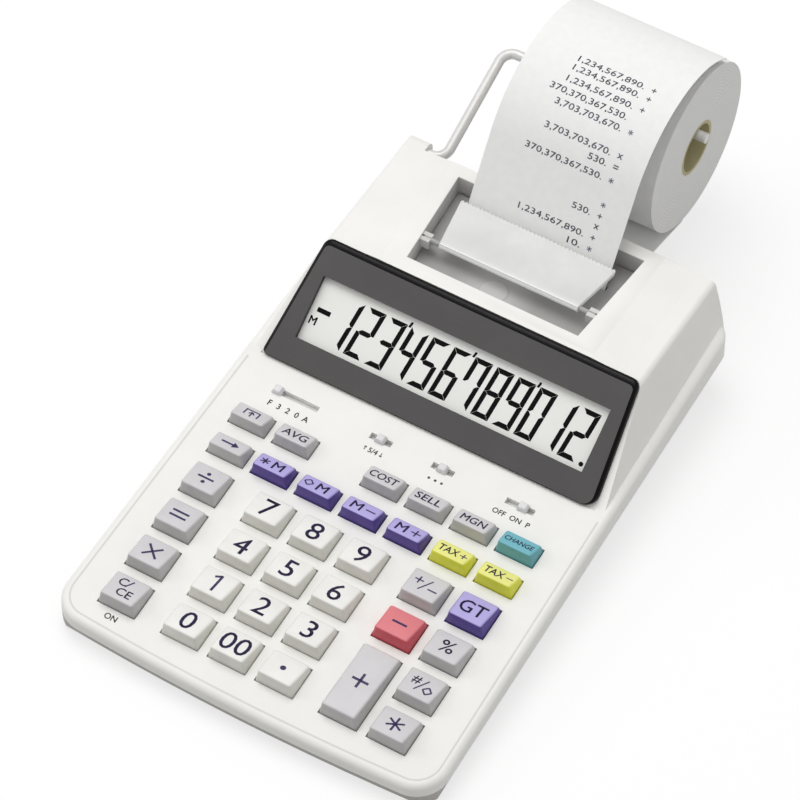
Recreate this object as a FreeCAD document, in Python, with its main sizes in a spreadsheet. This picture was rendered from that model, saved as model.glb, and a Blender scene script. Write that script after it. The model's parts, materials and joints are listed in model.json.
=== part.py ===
import FreeCAD, Part
import math
import os
import re

import Sketcher

# Printing desk calculator: a wedge case with thirty-six keys, four slide switches, a raised
# display housing, a small printer and a paper roll on a wire arm behind the case.
# Case axes: x to the right, y from the front edge to the back, z up from the table.

V = FreeCAD.Vector
doc = FreeCAD.newDocument("desk_calculator")
sheet = doc.addObject("Spreadsheet::Sheet", "Sizes")

# Driving sizes in millimetres and degrees. What belongs to the printer and the roll is set off
# from the rear wall, and the key columns are set off from their middle by the key width.
SIZES = (
    ("case_width", 150.0, "rim width near the front"),
    ("case_rear_width", 142.0, "rim width at the back"),
    ("case_depth", 212.0, "front reference line to rear wall"),
    ("front_set", 1.4, "front corners behind the reference line"),
    ("front_round", 1040.0, "plan radius of the bowed front edge"),
    ("front_corner", 12.0, "plan radius of the front corners"),
    ("rear_corner", 9.0, "plan radius of the rear corners"),
    ("wall", 2.0, "shell thickness"),
    ("deck_front", 11.1, "deck height at the front reference line"),
    ("deck_tilt", 5.0, "rise of the key deck"),
    ("deck_edge", 2.4, "rounding of the deck edge"),
    ("parting_front", 6.0, "height of the case parting at the front"),
    ("parting_tilt", 3.5, "rise of the case parting"),
    ("foot_height", 2.0, "underside above the table"),
    ("tuck_front", 1.2, "how far the underside is drawn in at the front"),
    ("tuck_rear", 6.0, "how far the underside is drawn in at the back"),
    ("panel_y", 121.6, "front edge of the display panel"),
    ("panel_z", 23.0, "height of that edge, outer face"),
    ("panel_tilt", 34.0, "slope of the display panel"),
    ("panel_length", 46.0, "panel size along its slope"),
    ("panel_low_width", 132.6, "panel width at its lower edge"),
    ("panel_top_width", 124.2, "panel width at its upper edge"),
    ("panel_thick", 2.2, "panel thickness"),
    ("panel_gap", 0.2, "clearance round the foot of the panel in the deck"),
    ("panel_corner", 5.0, "lower corner radius of the panel"),
    ("window_width", 114.0, "display opening, across"),
    ("window_low", 9.8, "lower edge of the display opening, along the slope"),
    ("window_height", 23.2, "display opening, along the slope"),
    ("glass_margin", 2.0, "display glass beyond the opening"),
    ("glass_thick", 2.4, "display glass thickness"),
    ("housing_top", 46.9, "height of the printer housing"),
    ("housing_width", 124.4, "housing width at its top"),
    ("housing_flare", 0.3, "sideways spread of the housing wall per millimetre down"),
    ("housing_edge", 2.5, "rounding of the upper side edges of the housing"),
    ("key_width", 14.5, "key width at the deck"),
    ("key_depth", 12.4, "depth of a large key"),
    ("key_short", 7.8, "depth of a small key"),
    ("key_tall", 29.2, "depth of the plus key"),
    ("key_rise", 5.6, "height of a key at its front"),
    ("key_back_rise", 2.2, "height of a key at its back"),
    ("key_taper", 1.0, "how far the key sides lean in"),
    ("key_lean", 0.85, "how far the key front leans in"),
    ("key_corner", 0.7, "bevel of the upright corners of a key"),
    ("key_gap", 0.35, "clearance between a key and its opening"),
    ("key_flange", 0.8, "thickness of the lip that keeps a key in the deck"),
    ("key_lip", 0.8, "reach of that lip under the deck"),
    ("key_travel", 1.8, "key stroke"),
    ("key_float", 0.1, "play between the lip and the deck"),
    ("row_front", 10.75, "front edge of the lowest key row, along the deck"),
    ("row_pitch", 16.75, "pitch of the large key rows"),
    ("memory_front", 79.0, "front edge of the memory key row"),
    ("trade_front", 92.9, "front edge of the uppermost key row"),
    ("upper_gap", 3.18, "gap between neighbouring small keys"),
    ("upper_middle", -0.86, "middle column of the small keys"),
    ("upper_pitch", "=key_width + upper_gap", "column pitch of the small keys"),
    ("upper_x", "=upper_middle - 3 * upper_pitch", "first column of the small keys"),
    ("digit_gap", 4.08, "gap between neighbouring digit keys"),
    ("digit_middle", -10.07, "middle digit column"),
    ("digit_pitch", "=key_width + digit_gap", "digit column pitch"),
    ("digit_x", "=digit_middle - digit_pitch", "first digit column"),
    ("left_gap", 10.55, "gap between the digits and the column left of them"),
    ("left_x", "=digit_x - key_width - left_gap", "column left of the digits"),
    ("right_gap", 10.24, "gap between the digits and the columns right of them"),
    ("right_x", "=digit_x + 2 * digit_pitch + key_width + right_gap", "first column right of the digits"),
    ("right_space", 4.0, "gap between the two columns right of the digits"),
    ("right_pitch", "=key_width + right_space", "column pitch right of the digits"),
    ("switch_front", 111.9, "centre line of the slide switches, along the deck"),
    ("knob_width", 4.0, "switch knob along its travel"),
    ("knob_depth", 3.4, "switch knob across its travel"),
    ("knob_rise", 1.9, "switch knob above the deck"),
    ("slot_depth", 2.4, "switch slot across its travel"),
    ("slide_gap", 0.3, "clearance of the switch stem in its slot"),
    ("mat_thick", 1.2, "rubber key mat"),
    ("mat_width", 124.0, "rubber key mat, across"),
    ("mat_front", 6.5, "front edge of the mat, along the deck"),
    ("mat_length", 98.5, "mat along the deck"),
    ("board_thick", 1.4, "circuit board"),
    ("board_width", 125.4, "circuit board, across"),
    ("board_extra", 11.0, "board beyond the mat, towards the display"),
    ("rib_width", 2.4, "thickness of the ribs under the board"),
    ("post_radius", 3.0, "case screw post"),
    ("post_front_x", 66.2, "front case screw posts from the middle"),
    ("post_front", 42.0, "front pair of case screw posts"),
    ("post_rear_x", 63.0, "rear case screw posts from the middle"),
    ("post_rear", 124.0, "rear pair of case screw posts"),
    ("screw_radius", 1.4, "case screw shank"),
    ("screw_head", 2.7, "case screw head radius"),
    ("screw_head_height", 1.4, "case screw head"),
    ("screw_length", 9.0, "case screw under its head"),
    ("run_gap", 0.05, "radial running clearance of a shaft"),
    ("cover_width", 86.0, "printer cover, across"),
    ("cover_front", "=case_depth - 50", "front edge of the printer cover"),
    ("cover_thick", 0.9, "printer cover above the housing top"),
    ("cover_skirt", 8.0, "depth of the printer cover below the housing top"),
    ("cover_inset", 2.4, "rest of the printer cover on the housing, each side"),
    ("cover_gap", 0.3, "clearance of the printer cover in its opening"),
    ("recess_front", "=case_depth - 45.5", "front edge of the printer recess"),
    ("recess_rear", "=case_depth - 5", "rear edge of the printer recess"),
    ("recess_front_width", 68.0, "recess width at its front"),
    ("recess_rear_width", 74.5, "recess width at its back"),
    ("flap_front", "=case_depth - 33.5", "front edge and hinge line of the clear tear flap"),
    ("flap_rear", "=case_depth - 13.4", "tear edge of the flap"),
    ("flap_width", 62.0, "tear flap, across"),
    ("flap_thick", 1.4, "tear flap thickness"),
    ("flap_pin", 1.0, "tear flap hinge pin radius"),
    ("roller_y", "=case_depth - 15", "feed roller axis"),
    ("roller_z", 31.0, "height of the printer axes"),
    ("roller_radius", 5.5, "feed roller"),
    ("roller_length", 58.0, "feed roller, across"),
    ("wheel_y", "=case_depth - 27.5", "print wheel axis"),
    ("wheel_radius", 5.5, "print wheel"),
    ("ink_y", "=case_depth - 37.7", "ink roller axis"),
    ("ink_radius", 4.2, "ink roller"),
    ("shaft_radius", 1.5, "printer shafts"),
    ("cheek_x", 31.5, "inner face of the printer side plates"),
    ("cheek_thick", 2.0, "printer side plates"),
    ("frame_floor", 21.0, "underside of the printer frame"),
    ("frame_top", 38.6, "top of the printer side plates"),
    ("apron_height", 1.6, "grey plate ahead of the tear flap"),
    ("roll_radius", 32.5, "paper roll"),
    ("roll_y", "=case_depth + roll_radius + 14.8", "paper roll axis"),
    ("roll_z", 50.5, "height of the paper roll axis"),
    ("paper_width", 57.5, "paper width"),
    ("paper_thick", 0.3, "paper, thick enough to model"),
    ("paper_gap", 0.4, "clearance between loose paper and what it passes"),
    ("core_radius", 10.6, "outside of the roll core"),
    ("core_bore", 9.3, "bore of the roll core"),
    ("core_fit", 0.05, "radial clearance between roll and core"),
    ("wire_radius", 1.9, "holder wire"),
    ("wire_bend", 5.0, "bend radius of the holder wire"),
    ("wire_x", -49.0, "leg of the holder wire"),
    ("wire_tip", 32.5, "free end of the holder wire"),
    ("wire_rest", 0.4, "clearance of the wire under the top of the core bore"),
    ("hinge_y", "=case_depth + 4.4", "holder hinge axis"),
    ("hinge_z", 40.0, "height of the holder hinge axis"),
    ("knuckle_width", 8.0, "holder knuckle, across"),
    ("knuckle_radius", 3.6, "holder knuckle"),
    ("knuckle_gap", 1.6, "knuckle to the bend of the wire"),
    ("slot_width", 63.0, "paper slot in the rear wall"),
    ("slot_low", 23.0, "lower edge of the paper slot"),
    ("slot_high", 34.0, "upper edge of the paper slot"),
    ("web_y", "=case_depth - 3.6", "end of the feed paper inside the slot"),
    ("web_z", 28.0, "height of that end"),
    ("strip_start", "=case_depth - 7.8", "where the paper inside the printer begins"),
    ("strip_angle", 57.8, "climb of the printed strip out of the printer"),
    ("curl_y", "=roll_y - 9.3", "centre of the curl of the printed strip"),
    ("curl_z", 48.0, "height of that centre"),
    ("curl_end", 47.0, "angle at which the printed strip ends"),
    ("battery_width", 70.0, "battery cover, across"),
    ("battery_front", "=case_depth - 62", "front edge of the battery cover"),
    ("battery_thick", 1.8, "battery cover"),
    ("battery_gap", 0.2, "clearance of the battery cover"),
    ("bay_margin", 5.0, "battery bay inside the cover"),
    ("foot_radius", 5.0, "rubber foot"),
    ("foot_x", 54.0, "feet from the middle"),
    ("foot_front", 22.0, "front feet"),
    ("foot_rear", "=case_depth - 22", "rear feet"),
)
for row, (alias, number, meaning) in enumerate(SIZES, start=1):
    sheet.set("A%d" % row, str(number))
    sheet.setAlias("A%d" % row, alias)
    sheet.set("B%d" % row, meaning)
doc.recompute()

WORDS = re.compile(r"\b(%s)\b" % "|".join(alias for alias, number, meaning in SIZES))


def bound(text):
    """An expression over the sheet, from words of the sheet."""
    return WORDS.sub(r"Sizes.\1", text)


def value(text):
    """The number that such an expression gives now."""
    result = sheet.evalExpression(bound(text))
    return float(getattr(result, "Value", result))


# Expressions that several pieces share
SIN_PANEL = "sin(panel_tilt * 1deg)"
COS_PANEL = "cos(panel_tilt * 1deg)"
FRONT_TIP = "(front_set - front_round + sqrt(front_round^2 - (case_width / 2)^2))"
ORIGIN_Y = "(roll_y + roll_radius + %s) / 2" % FRONT_TIP
PARTING_REAR = "(parting_front + case_depth * tan(parting_tilt * 1deg))"
KEY_SEAT = "(wall + key_float + key_flange + key_travel + key_float)"
COVER_TOP = "(housing_top + cover_thick)"
WIRE_Z = "(roll_z + core_bore - wire_radius - wire_rest)"
BASE_TOP = "(foot_height + wall)"


def place(item, x="0", y="0", z="0", tilt=None):
    """Put an item at a point given as expressions, tipped up about x where tilt is given."""
    angle = value(tilt) if tilt else 0.0
    item.Placement = FreeCAD.Placement(V(), FreeCAD.Rotation(V(1, 0, 0), angle))
    for axis, text in zip("xyz", (x, y, z)):
        item.setExpression("Placement.Base.%s" % axis, bound(text))
    if tilt:
        item.setExpression("Placement.Rotation.Angle", bound(tilt))
    return item


def in_case(item):
    """Final place of a piece that is modelled in case axes."""
    return place(item, y="-(%s)" % ORIGIN_Y)


def in_deck(item):
    """Final place of a piece that is modelled on the key deck: x, along the deck, out of it."""
    return place(item, y="-(%s)" % ORIGIN_Y, z="deck_front", tilt="deck_tilt")


def in_panel(item):
    """Final place of a piece that is modelled on the display slope."""
    return place(item, y="panel_y - (%s)" % ORIGIN_Y, z="panel_z", tilt="panel_tilt")


def box(name, x, y, z):
    """A block between pairs of expressions."""
    item = doc.addObject("Part::Box", name)
    for side, (low, high) in zip(("Length", "Width", "Height"), (x, y, z)):
        item.setExpression(side, bound("(%s) - (%s)" % (high, low)))
    return place(item, x[0], y[0], z[0])


def rod(name, radius, x, y, z):
    """A cylinder along x, between a pair of x expressions."""
    item = doc.addObject("Part::Cylinder", name)
    item.setExpression("Radius", bound(radius))
    item.setExpression("Height", bound("(%s) - (%s)" % (x[1], x[0])))
    item.Placement = FreeCAD.Placement(V(), FreeCAD.Rotation(V(0, 1, 0), 90))
    for axis, text in zip("xyz", (x[0], y, z)):
        item.setExpression("Placement.Base.%s" % axis, bound(text))
    return item


def post(name, radius, x, y, z):
    """A cylinder along z, between a pair of z expressions."""
    item = doc.addObject("Part::Cylinder", name)
    item.setExpression("Radius", bound(radius))
    item.setExpression("Height", bound("(%s) - (%s)" % (z[1], z[0])))
    return place(item, x, y, z[0])


def frustum(name, low, high, z):
    """A block that tapers upwards: low and high are (x0, x1, y0, y1) expressions."""
    item = doc.addObject("Part::Wedge", name)
    sides = {"Xmin": low[0], "Xmax": low[1], "Zmin": "-(%s)" % low[3], "Zmax": "-(%s)" % low[2],
             "X2min": high[0], "X2max": high[1], "Z2min": "-(%s)" % high[3], "Z2max": "-(%s)" % high[2],
             "Ymin": z[0], "Ymax": z[1]}
    for side, text in sides.items():
        item.setExpression(side, bound(text))
    item.Placement = FreeCAD.Placement(V(), FreeCAD.Rotation(V(1, 0, 0), 90))
    return item


def fuse(name, *items):
    item = doc.addObject("Part::MultiFuse", name)
    item.Shapes = list(items)
    return item


def common(name, *items):
    item = doc.addObject("Part::MultiCommon", name)
    item.Shapes = list(items)
    return item


def group(name, *items):
    item = doc.addObject("Part::Compound", name)
    item.Links = list(items)
    return item


def cut(name, base, *tools):
    item = doc.addObject("Part::Cut", name)
    item.Base = base
    item.Tool = tools[0] if len(tools) == 1 else fuse(name + "_tools", *tools)
    return item


def eased(kind, name, base, radius, chosen):
    """Part::Fillet or Part::Chamfer of the edges of base for which chosen(edge) is true."""
    doc.recompute()
    item = doc.addObject("Part::%s" % kind, name)
    item.Base = base
    item.Edges = [(i, radius, radius) for i, edge in enumerate(base.Shape.Edges, start=1) if chosen(edge)]
    return item


def draw(sketch, points, bow=None):
    """A closed polygon with pairs of expressions as corners. Its first side is an arc of radius bow, if given."""
    spots = [V(value(a), value(b), 0) for a, b in points]
    count = len(spots)
    for i in range(count):
        line = Part.LineSegment(spots[i], spots[(i + 1) % count])
        if bow and i == 0:
            sag = value(bow) - math.sqrt(value(bow) ** 2 - line.length() ** 2 / 4)
            line = Part.Arc(spots[0], (spots[0] + spots[1]) / 2 - V(0, sag, 0), spots[1])
        sketch.addGeometry(line)
    for i in range(count):
        sketch.addConstraint(Sketcher.Constraint("Coincident", i, 2, (i + 1) % count, 1))
    for i, corner in enumerate(points):
        for kind, text, number in zip(("DistanceX", "DistanceY"), corner, spots[i]):
            index = sketch.addConstraint(Sketcher.Constraint(kind, -1, 1, i, 1, number))
            sketch.setExpression("Constraints[%d]" % index, bound(text))
    if bow:
        index = sketch.addConstraint(Sketcher.Constraint("Radius", 0, value(bow)))
        sketch.setExpression("Constraints[%d]" % index, bound(bow))
    return sketch


def padded(name, plane, points, length, midplane=False, bow=None):
    """A body with one polygon padded from a plane of its origin."""
    body = doc.addObject("PartDesign::Body", name)
    sketch = body.newObject("Sketcher::SketchObject", name + "_outline")
    base = [item for item in body.Origin.OriginFeatures if item.Role == plane][0]
    sketch.AttachmentSupport = [(base, "")]
    sketch.MapMode = "FlatFace"
    draw(sketch, points, bow)
    pad = body.newObject("PartDesign::Pad", name + "_pad")
    pad.Profile = sketch
    pad.Midplane = midplane
    pad.setExpression("Length", bound(length))
    return body


def rounded(body, name, radius, chosen):
    """A PartDesign fillet, on the edges of the body's tip for which chosen(edge) is true."""
    doc.recompute()
    tip = body.Tip
    names = ["Edge%d" % i for i, edge in enumerate(tip.Shape.Edges, start=1) if chosen(edge)]
    item = body.newObject("PartDesign::Fillet", name)
    item.Base = (tip, names)
    item.setExpression("Radius", bound(radius))
    doc.recompute()
    return item


def middle(edge):
    return edge.valueAt((edge.FirstParameter + edge.LastParameter) / 2)


def upright(edge):
    first, last = edge.Vertexes[0].Point, edge.Vertexes[-1].Point
    return abs(first.x - last.x) < 1e-6 and abs(first.y - last.y) < 1e-6


SUBPARTS = {}


def piece(name, item):
    """Enter a finished sub-part under the name of its file."""
    item.Label = name
    SUBPARTS[name] = item
    return item


# Case form

def outline(front_inset, rear_inset):
    """Plan corners of the case, drawn in by insets: bowed front, sides that close towards the back."""
    front, rear = "(case_width / 2 - %s)" % front_inset, "(case_rear_width / 2 - %s)" % rear_inset
    front_y, rear_y = "front_set + %s" % front_inset, "case_depth - %s" % rear_inset
    return [("-" + front, front_y), (front, front_y), (rear, rear_y), ("-" + rear, rear_y)]


def plan(name, inset):
    """Upright prism over the plan of the case."""
    body = padded(name, "XY_Plane", outline(inset, inset), "housing_top + wall",
                  bow="front_round - %s" % inset)
    front = value("front_set + %s" % inset)
    rear = value("case_depth - %s" % inset)
    rounded(body, name + "_front", "front_corner - %s" % inset,
            lambda edge: upright(edge) and abs(middle(edge).y - front) < 1e-6)
    rounded(body, name + "_rear", "rear_corner - %s" % inset,
            lambda edge: upright(edge) and abs(middle(edge).y - rear) < 1e-6)
    return body


def slab(name, drop, floor):
    """Side profile between the deck, lowered by drop, and the parting, lowered by floor."""
    ends = ("-20", "case_depth + 20")
    low = [(y, "parting_front - %s + (%s) * tan(parting_tilt * 1deg)" % (floor, y)) for y in ends]
    top = [(y, "deck_front - %s + (%s) * tan(deck_tilt * 1deg)" % (drop, y)) for y in reversed(ends)]
    return padded(name, "YZ_Plane", low + top, "case_width + 20", midplane=True)


def housing(name, inset, base):
    """Raised block for display and printer: sloped front under the panel, flared side walls."""
    top = "(housing_top - %s)" % inset

    def side(z):
        return "(housing_width / 2 + housing_flare * (housing_top - (%s)) - %s)" % (z, inset)

    def front(z):
        return ("(panel_y + panel_thick * {s} + ({z} - panel_z + panel_thick * {c}) * {c} / {s} + {i} / {s})"
                .format(s=SIN_PANEL, c=COS_PANEL, z=z, i=inset))

    rear = "(case_depth + 5)"
    return frustum(name, ("-" + side(base), side(base), front(base), rear),
                   ("-" + side(top), side(top), front(top), rear), (base, top))


def upper_form():
    """Outer and inner form of the upper case: deck block with an eased edge, and the housing on it."""
    outline_prism = plan("plan_outer", "0")
    slope = math.tan(math.radians(value("deck_tilt")))
    deck_block = common("deck_block", outline_prism, slab("slab_outer", "0", "0"))
    deck_block = eased("Fillet", "deck_eased", deck_block, value("deck_edge"),
                       lambda edge: abs(middle(edge).z - value("deck_front") - middle(edge).y * slope) < 1e-4)
    raised = housing("housing_outer", "0", "(%s + 0.5)" % PARTING_REAR)
    raised = eased("Fillet", "housing_eased", raised, value("housing_edge"),
                   lambda edge: abs(middle(edge).z - value("housing_top")) < 1e-6 and abs(middle(edge).x) > 1)
    outer = fuse("upper_outer", deck_block, common("housing_block", outline_prism, raised))
    inner = common("upper_inner", plan("plan_inner", "wall"),
                   fuse("upper_inner_form", slab("slab_inner", "wall", "20"),
                        housing("housing_inner", "wall", "(%s - wall)" % PARTING_REAR)))
    return outer, inner


# Keys: name, first column, pitch, column, front edge, depth
ROWS = ["row_front + %d * row_pitch" % (6 - row) for row in range(7)]
KEYS = []
for column, row, name in ((0, 0, "feed"), (1, 0, "average"), (3, 0, "cost"), (4, 0, "sell"), (5, 0, "margin"),
                          (6, 0, "change"), (0, 1, "backspace"), (1, 1, "memory_total"),
                          (2, 1, "memory_subtotal"), (3, 1, "memory_minus"), (4, 1, "memory_plus"),
                          (5, 1, "tax_plus"), (6, 1, "tax_minus")):
    front = ("trade_front", "memory_front")[row]
    KEYS.append(("key_" + name, "upper_x + %d * upper_pitch" % column, front, "key_short"))
for row, name in ((3, "divide"), (4, "equals"), (5, "multiply"), (6, "clear")):
    KEYS.append(("key_" + name, "left_x", ROWS[row], "key_depth"))
for row, names in ((3, "seven eight nine"), (4, "four five six"), (5, "one two three"),
                   (6, "zero double_zero point")):
    for column, name in enumerate(names.split()):
        KEYS.append(("key_" + name, "digit_x + %d * digit_pitch" % column, ROWS[row], "key_depth"))
for column, row, name in ((0, 3, "sign"), (1, 3, "grand_total"), (0, 4, "minus"), (1, 4, "percent"),
                          (1, 5, "subtotal"), (0, 6, "plus"), (1, 6, "total")):
    depth = "key_tall" if name == "plus" else "key_depth"
    KEYS.append(("key_" + name, "right_x + %d * right_pitch" % column, ROWS[row], depth))

# Switches: name, x of the knob at rest, travel to the left, travel to the right
SWITCHES = (
    ("switch_decimal", -52.6, 0.0, 14.4),
    ("switch_rounding", -11.2, 2.5, 2.5),
    ("switch_total", 13.4, 2.5, 2.5),
    ("switch_power", 45.0, 5.0, 2.5),
)


def key(name, x, front, depth):
    """Key cap with a tall leaning front, a top that falls to the back, and a lip under the deck."""
    half = "key_width / 2"
    rear = "(%s) + %s" % (front, depth)
    low, top = "-(wall + key_float)", "key_rise"
    cap = frustum(name + "_cap", ("%s - %s" % (x, half), "%s + %s" % (x, half), front, rear),
                  ("%s - %s + key_taper" % (x, half), "%s + %s - key_taper" % (x, half),
                   "%s + key_lean" % front, rear), ("0", top))
    fall = "-atan((key_rise - key_back_rise) / (%s))" % depth
    above = box(name + "_above", ("%s - key_width" % x, "%s + key_width" % x), ("0", "2 * " + depth),
                ("0", "20"))
    place(above, "%s - key_width" % x, "%s + key_lean" % front, "key_rise", tilt=fall)
    sloped = cut(name + "_sloped", cap, above)
    sloped = eased("Chamfer", name + "_corners", sloped, value("key_corner"),
                   lambda edge: abs(edge.Vertexes[0].Point.z - edge.Vertexes[1].Point.z) > 1.0
                   and min(v.Point.z for v in edge.Vertexes) < 1e-6)
    shank = box(name + "_shank", ("%s - %s" % (x, half), "%s + %s" % (x, half)), (front, rear), (low, "0"))
    lip = box(name + "_lip",
              ("%s - %s - key_gap - key_lip" % (x, half), "%s + %s + key_gap + key_lip" % (x, half)),
              ("%s - key_gap - key_lip" % front, "%s + key_gap + key_lip" % rear),
              ("%s - key_flange" % low, low))
    return piece(name, in_deck(fuse(name, sloped, shank, lip)))


def key_opening(name, x, front, depth):
    """Opening in the deck for a key."""
    half = "key_width / 2 + key_gap"
    item = box(name + "_opening", ("%s - (%s)" % (x, half), "%s + %s" % (x, half)),
               ("%s - key_gap" % front, "(%s) + %s + key_gap" % (front, depth)), ("-wall - 3", "key_rise"))
    return on_deck(item, "%s - (%s)" % (x, half), "%s - key_gap" % front, "-wall - 3")


def on_deck(item, x, along, out):
    """Place in case axes for an item given by deck coordinates of its corner."""
    cosine, sine = "cos(deck_tilt * 1deg)", "sin(deck_tilt * 1deg)"
    return place(item, x, "(%s) * %s - (%s) * %s" % (along, cosine, out, sine),
                 "deck_front + (%s) * %s + (%s) * %s" % (along, sine, out, cosine), tilt="deck_tilt")


def slot_ends(rest, left, right):
    """Both ends of a switch slot: the stem at the ends of its travel, and clearance."""
    return ("%s - %s - (knob_width - 1) / 2 - slide_gap" % (rest, left),
            "%s + %s + (knob_width - 1) / 2 + slide_gap" % (rest, right))


def switch(name, rest, left, right):
    """Slide switch: knob on the deck, stem in the slot, and below a shield that always closes the slot."""
    def block(part, x, depth, z):
        ends = ("switch_front - %s / 2" % depth, "switch_front + %s / 2" % depth)
        return box("%s_%s" % (name, part), x, ends, z)

    low, high = slot_ends(rest, left, right)
    knob = frustum(name + "_knob", ("%s - knob_width / 2" % rest, "%s + knob_width / 2" % rest,
                                    "switch_front - knob_depth / 2", "switch_front + knob_depth / 2"),
                   ("%s - knob_width / 3" % rest, "%s + knob_width / 3" % rest,
                    "switch_front - knob_depth / 2.6", "switch_front + knob_depth / 2.6"),
                   ("key_float", "knob_rise"))
    stem = block("stem", ("%s - (knob_width - 1) / 2" % rest, "%s + (knob_width - 1) / 2" % rest),
                 "(slot_depth - 2 * slide_gap)", ("-wall - key_float", "key_float"))
    shield = block("shield", ("%s - %s - slide_gap" % (low, right), "%s + %s + slide_gap" % (high, left)),
                   "(slot_depth + 2 * key_lip)", ("-wall - key_float - key_flange", "-wall - key_float"))
    return piece(name, in_deck(fuse(name, knob, stem, shield)))


def switch_slot(name, rest, left, right):
    low, high = slot_ends(rest, left, right)
    item = box(name + "_slot", (low, high),
               ("switch_front - slot_depth / 2", "switch_front + slot_depth / 2"), ("-wall - 3", "wall"))
    return on_deck(item, low, "switch_front - slot_depth / 2", "-wall - 3")


# Upper case

def on_panel(item, x, along, out):
    """Place in case axes for an item given by display slope coordinates of its corner."""
    return place(item, x, "panel_y + (%s) * %s - (%s) * %s" % (along, COS_PANEL, out, SIN_PANEL),
                 "panel_z + (%s) * %s + (%s) * %s" % (along, SIN_PANEL, out, COS_PANEL), tilt="panel_tilt")


GLASS_X = "(window_width / 2 + glass_margin)"
GLASS_LOW = "(window_low - glass_margin)"
GLASS_HIGH = "(window_low + window_height + glass_margin)"
KNUCKLE_HIGH = "(wire_x - wire_bend - knuckle_gap)"
KNUCKLE_LOW = "(%s - knuckle_width)" % KNUCKLE_HIGH
POSTS = [(sign + x, y) for sign in ("", "-")
         for x, y in (("post_front_x", "post_front"), ("post_rear_x", "post_rear"))]
HEAD_FACE = "(foot_height + screw_head_height)"


def upper_case():
    outer, inner = upper_form()
    shell = cut("upper_shell", outer, inner)
    posts = []
    for number, (x, y) in enumerate(POSTS):
        posts.append(post("screw_post_%d" % number, "post_radius", x, y,
                          (BASE_TOP, "deck_front + (%s) * tan(deck_tilt * 1deg) - wall / 2" % y)))
    knuckle = rod("knuckle", "knuckle_radius", (KNUCKLE_LOW, KNUCKLE_HIGH), "hinge_y", "hinge_z")
    root = box("knuckle_root", (KNUCKLE_LOW, KNUCKLE_HIGH), ("case_depth - wall", "hinge_y"),
               ("hinge_z - knuckle_radius", "hinge_z + knuckle_radius"))
    solid = fuse("upper_with_posts", shell, knuckle, root, *posts)
    tools = [key_opening(*entry) for entry in KEYS]
    tools += [switch_slot(*entry) for entry in SWITCHES]
    low, out = "%s - 0.3" % GLASS_LOW, "-panel_thick - glass_thick - 8"
    glass = box("glass_opening", ("-%s - 0.3" % GLASS_X, "%s + 0.3" % GLASS_X),
                (low, "%s + 0.3" % GLASS_HIGH), (out, "0"))
    tools.append(on_panel(glass, "-%s - 0.3" % GLASS_X, low, out))
    low, out, half = "-panel_gap", "-panel_thick", "(panel_low_width / 2 + panel_gap)"
    rabbet = box("panel_rabbet", ("-" + half, half), (low, "2 * panel_thick"), (out, "panel_thick"))
    tools.append(on_panel(rabbet, "-" + half, low, out))
    half = "(cover_width / 2 - cover_inset)"
    tools.append(box("cover_opening", ("-" + half, half), ("cover_front + cover_inset", "case_depth - wall"),
                     ("housing_top - 3 * wall", "housing_top + 5")))
    tools.append(box("paper_slot", ("-slot_width / 2", "slot_width / 2"),
                     ("case_depth - 3 * wall", "case_depth + 5"), ("slot_low", "slot_high")))
    tools.append(rod("knuckle_bore", "wire_radius + run_gap",
                     ("%s + 1" % KNUCKLE_LOW, "%s + 1" % KNUCKLE_HIGH), "hinge_y", "hinge_z"))
    for number, (x, y) in enumerate(POSTS):
        tools.append(post("screw_bore_%d" % number, "screw_radius + run_gap", x, y,
                          (BASE_TOP + " - 1", "%s + screw_length + 0.5" % HEAD_FACE)))
    return piece("upper_case", in_case(cut("upper_case", solid, *tools)))


# Lower case

def tub(name, inset, low, high):
    """Lower body between two heights: plan corners drawn in towards the underside, more at the back."""
    sections = []
    rise = "(%s - foot_height)" % PARTING_REAR
    for level, z in (("low", low), ("high", high)):
        share = "(1 - (%s - foot_height) / %s)" % (z, rise)
        front_inset = "(%s + tuck_front * %s)" % (inset, share)
        rear_inset = "(%s + tuck_rear * %s)" % (inset, share)
        sketch = doc.addObject("Sketcher::SketchObject", "%s_%s" % (name, level))
        draw(sketch, outline(front_inset, rear_inset), bow="front_round - %s" % front_inset)
        sections.append(place(sketch, z=z))
    item = doc.addObject("Part::Loft", name)
    item.Sections = sections
    item.Solid = True
    item.Ruled = True
    return item


RIBS = ("mat_front + 12", "mat_front + mat_length - 12")
BOARD_FACE = "(-%s - mat_thick - board_thick)" % KEY_SEAT
BATTERY_HALF = "battery_width / 2"
BAY_HALF = "(battery_width / 2 - bay_margin)"
BATTERY_REAR = "(case_depth - tuck_rear - 0.5)"
BAY_FRONT = "(battery_front + bay_margin)"
BAY_REAR = "(%s - 2 * wall)" % BATTERY_REAR


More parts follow.
